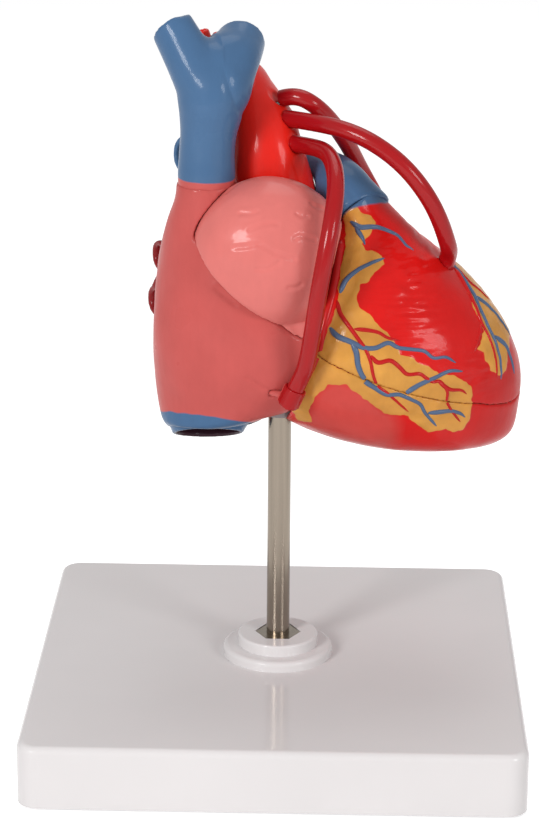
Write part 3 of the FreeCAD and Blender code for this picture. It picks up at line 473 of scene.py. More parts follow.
def emboss(tree, surface, height, distance, strength=1.0):
    """A bump from a height, in metres."""
    bump = tree.add("ShaderNodeBump")
    bump.inputs["Distance"].default_value = distance
    bump.inputs["Strength"].default_value = strength
    tree.link(height, bump.inputs["Height"])
    tree.link(bump.outputs["Normal"], surface.inputs["Normal"])


def lay_coat(tree, surface, group, inputs, relief, strength=1.0):
    """One coat from a node group, with its colour, its gloss and its relief."""
    coat = tree.add("ShaderNodeGroup", node_tree=node_group(group))
    for name, value in inputs.items():
        tree.give(value, coat.inputs[name])
    tree.link(coat.outputs["Colour"], surface.inputs["Base Color"])
    tree.link(coat.outputs["Gloss"], surface.inputs["Roughness"])
    emboss(tree, surface, coat.outputs["Height"], relief, strength)


def varnish(surface, weight, roughness):
    """Clear varnish over the paint."""
    surface.inputs["Specular IOR Level"].default_value = PAINT_SPECULAR
    surface.inputs["Coat Weight"].default_value = weight
    surface.inputs["Coat Roughness"].default_value = roughness


def paint_material(
    name, colour, inside=None, amount=0.5, relief=0.00005, shade=0.82, coat=0.2, patch=None
):
    """Glossy hand paint, with other colours inside a hollow and on a painted patch."""
    material, tree, surface = new_finish(name)
    base, dark = colour, shade_of(colour, shade)
    for area, edge, other in (("hollow", HOLLOW_EDGE, inside), ("patch", PATCH_EDGE, patch)):
        if other is not None:
            mask = tree.mask(area, *edge)
            base = tree.blend(mask, base, other)
            dark = tree.blend(mask, dark, shade_of(other, shade))
    inputs = {"Colour": base, "Shade": dark, "Amount": amount}
    lay_coat(tree, surface, "Hand paint", inputs, relief)
    varnish(surface, coat, 0.1)
    return material


def wall_material(name, paints):
    """Ventricle wall: reds, fat, the blue lip, the chamber's inner side and the cut muscle."""
    material, tree, surface = new_finish(name)
    place = tree.place()
    blotch = tree.ramp(tree.noise(place, 90, 4), 0.35, 0.7)
    fibre = tree.ramp(tree.noise(place, 420, 3, (1, 1, 0.35)), 0.38, 0.66)
    fat = tree.blend(blotch, paints.fat, shade_of(paints.fat, 0.8))
    chamber = tree.blend(fibre, paints.chamber, shade_of(paints.chamber, 0.72))
    muscle = tree.blend(fibre, paints.cut_muscle, shade_of(paints.cut_muscle, 0.7))
    areas = (
        ("left_side", (0, 1), paints.wall_dark),
        ("rose", (0.5, 8), paints.wall_rose),
        ("fat", (-0.12, 0.12), fat),
        ("lip", (-0.4, 0.4), paints.blue_vessel),
        ("hollow", HOLLOW_EDGE, chamber),
        ("cut", HOLLOW_EDGE, muscle),
    )
    base = paints.wall_red
    for area, edge, colour in areas:
        base = tree.blend(tree.mask(area, *edge), base, colour)
    dark = tree.blend(1, base, (0.8, 0.72, 0.72), "MULTIPLY")
    inputs = {"Colour": base, "Shade": dark, "Amount": 0.5}
    lay_coat(tree, surface, "Hand paint", inputs, 0.00006)
    varnish(surface, 0.22, 0.12)
    return material


def plastic_material(name, colour, shade):
    """Glossy moulded plastic."""
    material, tree, surface = new_finish(name)
    inputs = {"Colour": colour, "Shade": shade_of(colour, shade)}
    lay_coat(tree, surface, "Moulded grain", inputs, 0.00001, 0.4)
    varnish(surface, 0.3, 0.1)
    return material


def steel_material(name, colour):
    """Drawn steel with faint lengthwise lines."""
    material, tree, surface = new_finish(name)
    place = tree.place()
    lines = tree.noise(place, 500, 2, (1, 1, 0.02))
    smudge = tree.noise(place, 60, 2)
    tone = tree.blend(tree.ramp(lines, *MIDRANGE), colour, shade_of(colour, 0.86))
    tree.link(tone, surface.inputs["Base Color"])
    tree.link(tree.ramp(smudge, *MIDRANGE, 0.16, 0.26), surface.inputs["Roughness"])
    surface.inputs["Metallic"].default_value = 1
    emboss(tree, surface, lines, 0.000005, 0.3)
    return material


def rubber_material(name, colour):
    """Matt rubber with a fine grain."""
    material, tree, surface = new_finish(name)
    grain = tree.noise(tree.place(), 1600, 2)
    tone = tree.blend(tree.ramp(grain, *MIDRANGE), colour, shade_of(colour, 0.7))
    tree.link(tone, surface.inputs["Base Color"])
    tree.link(tree.ramp(grain, *MIDRANGE, 0.6, 0.8), surface.inputs["Roughness"])
    emboss(tree, surface, grain, 0.00003)
    return material


# ---- painted areas and lines, in millimetres
# outlines of the fat on the front, as seen from the front
GROOVE_FAT = [
    (24, 238), (26, 229), (27, 220), (26, 213), (24, 204), (24, 199), (23, 193), (21, 188),
    (18, 182), (15, 174), (11, 165), (7, 154), (5, 149), (8, 143), (14, 144), (13, 151), (15, 158),
    (21, 164), (28, 165), (33, 161), (38, 157), (44, 152), (54, 151), (56, 148), (61, 143),
    (63, 142), (70, 143), (73, 141), (77, 142), (80, 146), (81, 154), (80, 162), (76, 166),
    (72, 168), (67, 169), (63, 172), (59, 174), (55, 177), (50, 178), (49, 181), (47, 185),
    (44, 187), (40, 191), (37, 194), (35, 195), (33, 197), (32, 201), (33, 205), (37, 206),
    (39, 209), (43, 212), (42, 215), (39, 216), (35, 217), (34, 219), (36, 222), (39, 225),
    (37, 229), (33, 231), (29, 237),
]
LEFT_FAT = [
    (74, 204), (76, 201), (79, 197), (81, 192), (83, 187), (85, 183), (84, 180), (82, 177),
    (85, 175), (87, 170), (88, 167), (92, 164), (95, 165), (96, 171), (97, 176), (99, 181),
    (98, 187), (95, 193), (92, 199), (88, 205), (84, 209), (79, 211), (74, 208),
]
ROSE_PATCH = [
    (2, 128), (6, 146), (12, 163), (22, 173), (36, 168), (48, 158), (54, 149), (54, 136), (46, 122),
    (26, 114),
]

# the coronary vessels and the fat along the grooves behind
SINUS = [
    (24, 33, 217), (21, 43, 207), (18, 47, 196), (14, 48, 184), (11, 47, 172), (8, 43, 160),
    (5, 35, 151),
]
MIDDLE_VEIN = [
    (7, 43, 157), (16, 46, 152), (27, 45, 147), (38, 42, 142), (50, 38, 138), (62, 32, 136),
    (74, 24, 136),
]
BACK_VEINS = [
    SINUS,
    MIDDLE_VEIN,
    [
        (18, 47, 197), (27, 49, 190), (37, 49, 182), (47, 47, 174), (57, 44, 166), (66, 39, 158),
        (74, 34, 151),
    ],
    [(27, 45, 148), (34, 46, 154), (42, 46, 158), (50, 44, 160)],
    [(47, 47, 174), (56, 46, 176), (64, 42, 175), (71, 38, 171)],
]
BACK_ARTERIES = [
    [(26, 31, 220), (26, 41, 212), (25, 46, 203), (22, 48, 192), (18, 49, 181)],
    [(10, 42, 151), (19, 45, 148), (30, 44, 143), (41, 41, 139), (53, 36, 136), (65, 29, 135)],
    [
        (25, 46, 203), (34, 47, 198), (44, 46, 191), (53, 44, 183), (62, 41, 174), (70, 36, 165),
        (77, 31, 157),
    ],
    [(44, 46, 191), (54, 42, 192), (63, 37, 189), (71, 32, 183)],
    [(30, 44, 143), (37, 45, 148), (45, 45, 151)],
]
BACK_FAT = (SINUS, MIDDLE_VEIN)
# the pad of fat that fills the groove between the atria and the ventricles behind
GROOVE_PAD = [
    (18, 37, 208), (12, 43, 199), (8, 45, 189), (5, 45, 178), (3, 41, 167), (2, 36, 157),
    (3, 29, 149), (3, 23, 145),
]
GROOVE_PAD_RADII = [3.0, 5.5, 6.5, 6.5, 5.5, 5.0, 4.5, 3.0]
BACK_FAT_REACH = 6.0
# the pulmonary trunk's root: its middle and the way it points
PULMONARY_ROOT = np.array([31.2, 1.98, 230.0])
PULMONARY_WAY = np.array([-0.622, 0.301, 0.7226])

FRONT_VEINS = [
    [
        (29, -10, 227), (33, -12, 225), (39, -11, 225), (44, -10, 223), (48, -9, 220),
        (52, -11, 217), (55, -11, 215),
    ],
    [(31, -12, 225), (34, -15, 221), (35, -17, 219)],
    [
        (25, -28, 201), (27, -26, 206), (31, -24, 209), (36, -23, 212), (40, -21, 213),
        (43, -20, 214),
    ],
    [
        (21, -34, 188), (24, -36, 185), (30, -38, 183), (35, -39, 181), (40, -39, 181),
        (45, -38, 183), (49, -38, 181), (55, -37, 180), (60, -36, 179), (64, -36, 176),
        (69, -34, 176), (73, -32, 173),
    ],
    [
        (30, -38, 183), (32, -39, 179), (33, -40, 173), (36, -40, 167), (40, -40, 164),
        (45, -39, 161), (50, -39, 161), (56, -38, 158), (59, -36, 156), (61, -35, 152),
        (66, -31, 145),
    ],
    [
        (52, -39, 161), (56, -38, 164), (60, -38, 166), (65, -36, 168), (71, -34, 170),
        (76, -31, 169),
    ],
    [(62, -34, 152), (67, -33, 152), (72, -31, 152), (76, -29, 150), (78, -28, 148)],
    [
        (72, 3, 207), (77, -4, 200), (81, -8, 196), (83, -12, 191), (86, -15, 185), (90, -17, 179),
        (92, -18, 171), (93, -19, 162),
    ],
    [(82, -8, 195), (88, -5, 189), (93, -3, 182), (96, -2, 176)],
    [(90, -16, 180), (94, -12, 175), (97, -11, 169), (99, -11, 162)],
]
FRONT_ARTERIES = [
    [
        (24, -29, 198), (25, -33, 194), (29, -36, 189), (33, -38, 184), (36, -39, 180),
        (38, -40, 175), (39, -40, 170), (41, -40, 165), (45, -39, 162), (48, -38, 159),
        (54, -36, 153),
    ],
    [(31, -36, 188), (36, -37, 188), (41, -37, 187), (45, -38, 185), (50, -38, 184)],
    [
        (38, -40, 178), (41, -40, 175), (46, -40, 176), (50, -40, 173), (53, -39, 170),
        (58, -38, 170), (61, -38, 168), (64, -37, 166), (67, -36, 166), (70, -34, 161),
        (70, -34, 157), (72, -31, 152), (76, -28, 146),
    ],
    [(66, -36, 166), (71, -34, 162), (76, -32, 161), (78, -30, 159)],
    [
        (73, 0, 205), (78, -8, 198), (81, -13, 192), (84, -17, 186), (88, -19, 179), (90, -20, 173),
        (91, -21, 163),
    ],
    [(84, -18, 185), (83, -23, 181), (81, -27, 176)],
    [(75, 2, 207), (80, -2, 202), (86, 0, 197), (90, 2, 192)],
]
# the right coronary artery in its groove, thicker than the branches
RIGHT_CORONARY = [
    (25, -13, 220), (24, -16, 216), (23, -21, 209), (21, -28, 198), (18, -33, 187), (17, -35, 180),
    (14, -35, 171), (10, -33, 163), (6, -31, 157),
]
# folds in the atrium's and the auricle's skin
SKIN_FOLDS = [
    [(-12, -39, 230), (-8, -39, 232), (-4, -39, 233), (-1, -39, 233)],
    [(-8, -42, 225), (-4, -43, 223), (0, -43, 221), (6, -42, 219)],
    [(-9, -43, 215), (-5, -44, 215), (-1, -43, 217), (0, -43, 218)],
    [(-18, -40, 223), (-13, -42, 224), (-9, -42, 225)],
    [(-16, -35, 236), (-11, -36, 236), (-9, -36, 237)],
    [(6, -40, 227), (8, -39, 228), (12, -38, 227), (14, -37, 226)],
    [(7, -35, 236), (9, -35, 235), (11, -34, 235)],
    [(-22, -23, 242), (-19, -20, 244), (-17, -19, 245)],
    [(13, -29, 239), (15, -29, 238), (17, -27, 237)],
    [(4, -42, 207), (7, -41, 207), (9, -41, 208)],
    [(-13, -35, 166), (-9, -35, 163), (-4, -33, 160), (0, -31, 157)],
    [(-26, -31, 203), (-22, -33, 200), (-18, -34, 197)],
]


# ---- camera, lamps, floor and backdrop
CAMERA_PLACE = (0.02118, -1.11241, 0.50654)
CAMERA_TURN = (18.309, -1.3196, -0.4396)  # down, to the right and leaning, in degrees
SENSOR_WIDTH, LENS = 36, 118.226
LAMP_TARGET = Vector((0.02, 0, 0.16))
TOP_SHARE = 0.4  # the top lamp's share of the side lamp's power
WHITE = (1, 1, 1, 1)
FLOOR_SIZE, FLOOR_GREY, FLOOR_GLOW = 40, 0.86, 0.62


class HEART_OT_stage(bpy.types.Operator):
    """Adds the camera, the soft studio lamps, the pale floor and the backdrop"""

    bl_idname = "heart.stage"
    bl_label = "Stage"

    def execute(self, context):
        settings = context.scene.heart_stage
        start_piece()
        self.camera(context)
        self.lamps(context, settings)
        self.sky(context, settings)
        self.floor()
        context.scene.view_settings.view_transform = "Standard"
        return {"FINISHED"}

    def camera(self, context):
        """The camera stands in front of the model and looks down on it."""
        pitch, yaw, roll = (math.radians(angle) for angle in CAMERA_TURN)
        level = Vector((math.cos(yaw), -math.sin(yaw), 0))
        ahead = Vector(
            (math.sin(yaw) * math.cos(pitch), math.cos(yaw) * math.cos(pitch), -math.sin(pitch))
        )
        down = ahead.cross(level)
        right = math.cos(roll) * level + math.sin(roll) * down
        down = -math.sin(roll) * level + math.cos(roll) * down
        bpy.ops.object.camera_add(location=CAMERA_PLACE)
        camera = context.active_object
        camera.rotation_euler = Matrix((right, -down, -ahead)).transposed().to_euler()
        camera.data.sensor_width = SENSOR_WIDTH
        camera.data.lens = LENS
        camera.data.clip_start = 0.05
        camera.data.clip_end = 50
        context.scene.camera = camera

    def lamps(self, context, settings):
        """Three large soft lamps: in front, to the side and above."""
        lamps = (
            ("key_lamp", (-0.95, -1.35, 0.85), 0.55, settings.key_power),
            ("fill_lamp", (1.15, -1.15, 0.75), 0.6, settings.fill_power),
            ("top_lamp", (0.1, 0.5, 1.5), 0.9, settings.fill_power * TOP_SHARE),
        )
        for name, place, width, power in lamps:
            start_piece()
            bpy.ops.object.light_add(type="AREA", location=place)
            lamp = context.active_object
            lamp.name = name
            lamp.data.shape = "DISK"
            lamp.data.size = width
            lamp.data.energy = power
            way = LAMP_TARGET - Vector(place)
            lamp.rotation_euler = way.to_track_quat("-Z", "Y").to_euler()

    def sky(self, context, settings):
        """An even sky, white to the camera and dimmer as a light."""
        world = bpy.data.worlds.new("Studio")
        context.scene.world = world
        world.use_nodes = True
        tree = Finish(world.node_tree)
        background = world.node_tree.nodes["Background"]
        background.inputs["Color"].default_value = WHITE
        light = tree.add("ShaderNodeLightPath").outputs
        mirrored = tree.sum_of(light["Is Glossy Ray"], 0.5, "MULTIPLY")
        seen = tree.sum_of(light["Is Camera Ray"], mirrored, "MAXIMUM")
        strength = tree.ramp(seen, 0, 1, settings.sky_strength, 1.0)
        tree.link(strength, background.inputs["Strength"])

    def floor(self):
        """A pale floor that shows the object's shadow."""
        start_piece()
        bpy.ops.mesh.primitive_plane_add(size=FLOOR_SIZE, location=(0, 0, 0))
        floor = bpy.context.active_object
        floor.name = "floor"
        bpy.ops.object.transform_apply(location=True, rotation=True, scale=True)
        material, tree, surface = new_finish("Floor")
        surface.inputs["Base Color"].default_value = (FLOOR_GREY, FLOOR_GREY, FLOOR_GREY, 1)
        surface.inputs["Roughness"].default_value = 0.9
        surface.inputs["Specular IOR Level"].default_value = 0.0
        surface.inputs["Emission Color"].default_value = WHITE
        light = tree.add("ShaderNodeLightPath").outputs
        seen = tree.sum_of(light["Is Camera Ray"], light["Is Glossy Ray"], "MAXIMUM")
        glow = tree.ramp(seen, 0, 1, 0, FLOOR_GLOW)
        tree.link(glow, surface.inputs["Emission Strength"])
        floor.data.materials.append(material)


# ---- stand
class HEART_OT_stand(bpy.types.Operator):
    """Finishes the base plate, its collar, the nuts, the washer, the feet and the rod"""

    bl_idname = "heart.stand"
    bl_label = "Base plate and fasteners"

    def execute(self, context):
        paints = context.scene.heart_paints
        white = plastic_material("White plastic", paints.white_plastic, 0.97)
        steel = steel_material("Bright steel", paints.steel)
        rubber = rubber_material("Foot rubber", paints.rubber)
        inner = plastic_material("Inner plastic", shade_of(paints.white_plastic, 0.6), 0.9)
        keep_nodes(white, "base_plate", "rod_collar")
        keep_nodes(steel, "collar_nut", "base_washer", "base_nut", "support_rod")
        keep_nodes(rubber, "rubber_feet")
        keep_nodes(inner, "rod_socket")
        return {"FINISHED"}


# ---- ventricle walls
CHAMBER_WIDTH = 70.0  # rays this long cross a chamber
CUT_START, CUT_GAP = 0.1, 1.6  # a cut face has the other wall this close
FACING = 0.25  # the painted front doesn't look further back
FAT_BLUR, FAT_BEHIND = 1.2, 4  # its edge's softness; where the fat behind starts
LEFT_START, LEFT_FADE = 66, 26  # the left side's deeper red
RIPPLES = ((53, 12, 202, 18), (82, 8, 166, 9))  # middle and spread, across and up
RIPPLE_GRAIN, RIPPLE_HEIGHT = np.array([0.14, 0.14, 0.52]), 0.75
WAVINESS = 0.2
FRONT_WOBBLE, BACK_WOBBLE, LIP_WOBBLE = 0.6, 1.6, 0.5  # how ragged the painted edges are
FRONT_GRAIN = 0.8  # the front wall's mesh spacing, as a share of the rear wall's
SWELL_MIDDLE, SWELL_HEIGHT, SWELL_WIDTH = np.array([48.0, 1.0, 224.0]), 3.8, 12
# the blue paint round the pulmonary trunk's root: its reach, and how far it runs down the wall
ROOT_REACH, LIP_START, LIP_SLOPE, LIP_LEAST, LIP_MOST = 24, 28.6, 0.41, 0.3, 7.0


class HEART_OT_walls(bpy.types.Operator):
    """Builds the front and the rear ventricle wall with their fat, fibres and paint"""

    bl_idname = "heart.walls"
    bl_label = "Ventricle walls"

    def execute(self, context):
        sizes = context.scene.heart_sizes
        grain = sizes.wall_grain
        front = moulded_copy("front_ventricle_wall", "front_wall", grain * FRONT_GRAIN, 5)
        rear = moulded_copy("rear_ventricle_wall", "rear_wall", grain, 4)
        tree = surface_tree(front, rear)
        other = {front: surface_tree(rear), rear: surface_tree(front)}
        material = wall_material("Wall paint", context.scene.heart_paints)
        for piece in (front, rear):
            self.paint_areas(piece, tree, other[piece], sizes)
        finish_piece(front, material, "front", "heart_muscle", "front_ventricle_wall")
        finish_piece(rear, material, "heart", "heart_muscle", "rear_ventricle_wall")
        return {"FINISHED"}

    def paint_areas(self, piece, tree, other, sizes):
        """Works out the painted areas, raises the fat and ripples the muscle."""
        places = places_of(piece)
        normals = normals_of(piece)
        flat = places[:, [0, 2]]
        across, up = flat.T
        hollow = enclosed(places, normals, tree, CHAMBER_WIDTH)
        cut = self.cut_faces(places, normals, other)
        ahead = normals[:, 1] < FACING
        wobble = lumps(places, 5.0)
        fray = lumps(places, 2.4, seed=3.0, height=0.6)
        fat = np.maximum(outline_depth(flat, GROOVE_FAT), outline_depth(flat, LEFT_FAT))
        fat = np.where(ahead, fat + wobble * FRONT_WOBBLE + fray, BARE)
        away = np.min([line_distance(places, line) for line in BACK_FAT], axis=0)
        behind = BACK_FAT_REACH - away + wobble * BACK_WOBBLE
        fat = np.maximum(fat, np.where(places[:, 1] > FAT_BEHIND, behind, BARE))
        rose = np.where(ahead, outline_depth(flat, ROSE_PATCH) + wobble, BARE)
        left_side = np.clip((across - LEFT_START) / LEFT_FADE, 0, 1)
        lip = self.lip_depth(places) + wobble * LIP_WOBBLE
        store(piece, hollow=hollow, cut=cut, fat=fat, rose=rose, left_side=left_side, lip=lip)
        outside = (1 - hollow) * (1 - cut)
        raised = np.clip(fat / FAT_BLUR + 0.5, 0, 1) * outside
        muscle = (1 - raised) * outside
        hills = lumps(places, 3.4, seed=4.0)
        lift = raised * (sizes.fat_rise / MM + hills * sizes.fat_lump / MM)
        ripple = sum(hill(across, x, wide) * hill(up, z, tall) for x, wide, z, tall in RIPPLES)
        waves = lumps(places * RIPPLE_GRAIN, 1.0, seed=9.0)
        lift += muscle * ahead * ripple * waves * RIPPLE_HEIGHT
        lift += muscle * lumps(places, 9.0, seed=2.0) * WAVINESS
        swell = hill(np.linalg.norm(places - SWELL_MIDDLE, axis=1), 0, SWELL_WIDTH)
        lift += outside * SWELL_HEIGHT * swell
        move_vertices(piece, places + normals * lift[:, None])

    def cut_faces(self, places, normals, other):
        """1 for each vertex that lies against the other wall and 0 for one that doesn't."""
        result = np.zeros(len(places))
        for index, (place, normal) in enumerate(zip(places, normals)):
            way = Vector(normal)
            hit = other.ray_cast(Vector(place) - way * CUT_START, way, CUT_GAP)[0]
            result[index] = hit is not None
        return result

    def lip_depth(self, places):
        """How far a place is above the lower edge of the blue paint round the trunk's root."""
        height = (places - PULMONARY_ROOT) @ PULMONARY_WAY
        near = np.linalg.norm(places - PULMONARY_ROOT, axis=1) < ROOT_REACH
        run = np.clip(LIP_LEAST + LIP_SLOPE * (places[:, 0] - LIP_START), LIP_LEAST, LIP_MOST)
        return np.where(near, height + run, BARE)


# ---- atria and auricles
ATRIUM_WIDTH = 60.0  # rays this long cross an atrium
FOLD_DEPTH, FOLD_WIDTH = 0.42, 0.85
RIM_HEIGHT, RIM_AWAY, RIM_WIDTH = 0.14, 1.9, 0.9  # the raised rim beside a fold
LOWER_MOUTH = np.array([-30.8, -2.0])  # the lower vein's middle, across and back
# the funnel round the lower vein: where it fades, away from the vein and up, and how far it sinks
FUNNEL_AWAY, FUNNEL_UP, FUNNEL_DEPTH = (17, 33), (143, 154), 4.4
# the lower vein: where its mouth starts, how it tips forward, and its width above and at the mouth
MOUTH_START, MOUTH_TIP, VEIN_WIDER, MOUTH_SLIMMER = (-137, -130), 0.05, 0.10, 0.19
DIP = 0.36  # the mouth and the blue paint sink to the back
FOOT_PAINT = ((-50.0, 141.4), (-11.8, 136.4))  # the paint's upper edge: two places, across and up
FOOT_FRONT, FOOT_END = 6, 12  # the edge is this high at 6 in front; the paint ends at 12 across


def fold_lift(places):
    """Shallow folds with a raised rim beside each."""
    lift = np.zeros(len(places))
    for fold in SKIN_FOLDS:
        away = line_distance(places, fold)
        rim = RIM_HEIGHT * hill(away, RIM_AWAY, RIM_WIDTH)
        lift += rim - FOLD_DEPTH * hill(away, 0, FOLD_WIDTH)
    return lift


def funnel_foot(places):
    """Draws the foot of the right atrium down into a funnel round the lower vein."""
    reach = np.linalg.norm(places[:, :2] - LOWER_MOUTH, axis=1)
    share = (1 - rise(reach, *FUNNEL_AWAY)) * (1 - rise(places[:, 2], *FUNNEL_UP))
    moved = places.copy()
    moved[:, 2] -= FUNNEL_DEPTH * share
    return moved


def opened_forward(places):
    """Tapers the lower vein to its mouth and tips the mouth towards the front."""
    share = rise(-places[:, 2] - DIP * places[:, 1], *MOUTH_START)
    moved = places.copy()
    moved[:, 2] -= (places[:, 1] - LOWER_MOUTH[1]) * MOUTH_TIP * share
    wider = VEIN_WIDER - MOUTH_SLIMMER * share
    moved[:, :2] += (places[:, :2] - LOWER_MOUTH) * wider[:, None]
    return moved


def foot_paint(places):
    """How far a place is below the upper edge of the blue paint on the atrium's foot."""
    (left, left_up), (right, right_up) = FOOT_PAINT
    slope = (right_up - left_up) / (right - left)
    edge = left_up + slope * (places[:, 0] - left) - DIP * (places[:, 1] + FOOT_FRONT)
    return np.where(places[:, 0] < FOOT_END, edge - places[:, 2], BARE)


class HEART_OT_atria(bpy.types.Operator):
    """Builds the atria and their auricles"""

    bl_idname = "heart.atria"
    bl_label = "Atria and auricles"

    def execute(self, context):
        paints = context.scene.heart_paints
        inside = paints.atrium_inside
        atrium = paint_material(
            "Atrium paint", paints.atrium, inside, amount=0.45, coat=0.1, patch=paints.blue_vessel
        )
        auricle = paint_material("Auricle paint", paints.auricle, inside, amount=0.4)
        pieces = (
            ("right_atrium", "right_atrium_shell", atrium, "heart", 0.9),
            ("left_atrium", "left_atrium_shell", atrium, "heart", 1.0),
            ("left_auricle", "left_auricle_shell", auricle, "heart", 0.8),
            ("right_auricle", "right_auricle_shell", auricle, "front", 0.7),
        )
        for node, name, material, body, grain in pieces:
            piece = moulded_copy(node, name, grain * MM, 4)
            places = places_of(piece)
            normals = normals_of(piece)
            hollow = enclosed(places, normals, surface_tree(piece), ATRIUM_WIDTH)
            lift = lumps(places, 11.0, seed=3.0, height=0.25) + fold_lift(places)
            if node == "left_auricle":
                lift += lumps(places, 4.2, seed=6.0, height=1.1)
            places += normals * (lift * (1 - hollow))[:, None]
            if node == "right_atrium":
                places = funnel_foot(places)
            patch = foot_paint(places) + lumps(places, 6.0, seed=8.0, height=0.7)
            store(piece, hollow=hollow, patch=patch)
            move_vertices(piece, places)
            finish_piece(piece, material, body, "atrium_wall", node)
        return {"FINISHED"}


# ---- great vessels
VESSEL_GRAIN, VESSEL_WIDTH = 0.65, 40.0  # mesh spacing; rays this long cross a vessel
CAVA_LINE = [
    (-31, -12, 240), (-31, -12, 263), (-31.5, -12, 280), (-36.5, -10.8, 294), (-43.8, -5.8, 304),
]
LEFT_VEIN_LINE = [(-31, -12, 257), (-30, -12, 273), (-20, -9, 291), (-17.5, 10, 299)]
CAVA_PAINT = 245.6  # the blue paint's lower edge on the upper vein
CAVA_RADIUS, LEFT_VEIN_RADIUS, FORK_EDGE = 12.5, 10, (-0.25, 0.35)
# the upper vein's waist, bend, open end and foot: where each is, up, and how far it is moved
WAIST, WAIST_SLIMMER = (258, 12), 0.08
BEND, BEND_SHIFT = (277, 14), 2.4
END, END_SLIMMER, END_SHIFT, END_UP, TOP = (284, 303), 0.30, 2.0, 3.6, 312.0
FOOT, FOOT_SLIMMER, FOOT_DROP = (243, 249), 0.03, 1.8
FORK_FILL, FORK_MIDDLE, FORK_UP = 3.0, (3.2, 6.0), (262, 282)
AORTA_LINE = [
    (18, 14, 200), (0.4, 7, 233), (-5, 7.5, 250), (-11.6, 16, 271), (-16, 34, 275),
    (-18.6, 47, 262),
]
BULGE, BULGE_SIDE, BULGE_WIDTH = (236, 17), (-6, 13), 5.2
ARCH_START, ARCH_HEIGHT, ARCH_LEAN = 267, 12, 0.40
ROOT_EDGE, ROOT_WIDER, ROOT_DROP = (-1, 7), 0.12, 5.0
BRANCH_END, BRANCH_SHIFT = (-46, -30), (4.2, 0, 2.4)
# the right stubs: where they start and their length, across; what parts them, up; their mouths
STUB_START, STUB_LENGTH, STUB_PARTING = -20, 30, 193.2
LOWER_DROP, UPPER_DROP = 5.5, 0.5
MOUTH, MOUTH_MIDDLE, MOUTH_TURN, UPPER_SHORTER = (40, 50), 31.0, 0.42, 2.8


def slim_cava(places):
    """Gives the upper vein its waist and bend, and narrows its open branch and its foot."""
    feet, away = line_feet(places, CAVA_LINE)
    other = line_distance(places, LEFT_VEIN_LINE)
    own = rise(other / LEFT_VEIN_RADIUS - away / CAVA_RADIUS, *FORK_EDGE)
    up = places[:, 2]
    end = rise(up, *END)
    scale = 1 - own * (WAIST_SLIMMER * hill(up, *WAIST) + END_SLIMMER * end)
    moved = feet + (places - feet) * scale[:, None]
    moved[:, 0] += BEND_SHIFT * hill(up, *BEND) * own - END_SHIFT * end * own
    moved[:, 2] += END_UP * end * own
    moved[:, 2] = np.minimum(moved[:, 2], TOP)
    foot = 1 - rise(up, *FOOT)
    moved[:, :2] += (feet - places)[:, :2] * (FOOT_SLIMMER * foot)[:, None]
    moved[:, 2] -= FOOT_DROP * foot
    return moved


def fork_fill(places):
    """How far the crease between the upper vein's branches is filled."""
    nearer = line_distance(places, CAVA_LINE) - line_distance(places, LEFT_VEIN_LINE)
    return FORK_FILL * hill(nearer, *FORK_MIDDLE) * rise(places[:, 2], *FORK_UP)


def cone_aorta(places):
    """Widens the rising aorta towards the upper vein and leans the top of its arch to it."""
    feet, _ = line_feet(places, AORTA_LINE)
    up = places[:, 2]
    side = rise(feet[:, 0] - places[:, 0], *BULGE_SIDE)
    moved = places.copy()
    moved[:, 0] -= BULGE_WIDTH * hill(up, *BULGE) * side
    moved[:, 0] -= ARCH_LEAN * np.clip(up - ARCH_START, 0, ARCH_HEIGHT)
    return moved


def rooted_trunk(places):
    """Carries the pulmonary trunk's rim down over the wall and draws its right branch in."""
    height = (places - PULMONARY_ROOT) @ PULMONARY_WAY
    root = 1 - rise(height, *ROOT_EDGE)
    axis = PULMONARY_ROOT + height[:, None] * PULMONARY_WAY
    wider = (places - axis) * (ROOT_WIDER * root)[:, None]
    moved = places + wider - PULMONARY_WAY * (ROOT_DROP * root)[:, None]
    end = 1 - rise(places[:, 0], *BRANCH_END)
    moved += np.outer(end, BRANCH_SHIFT)
    return moved


def parted_veins(places):
    """Lets the lower right stub sink away from the upper one and turns both mouths forward."""
    share = np.clip((STUB_START - places[:, 0]) / STUB_LENGTH, 0, 1)
    low = places[:, 2] < STUB_PARTING
    moved = places.copy()
    moved[:, 2] -= np.where(low, LOWER_DROP, UPPER_DROP) * share
    end = rise(-places[:, 0], *MOUTH)
    turn = (places[:, 1] - MOUTH_MIDDLE) * MOUTH_TURN * end
    moved[:, 0] -= turn - np.where(low, 0, UPPER_SHORTER) * end
    return moved


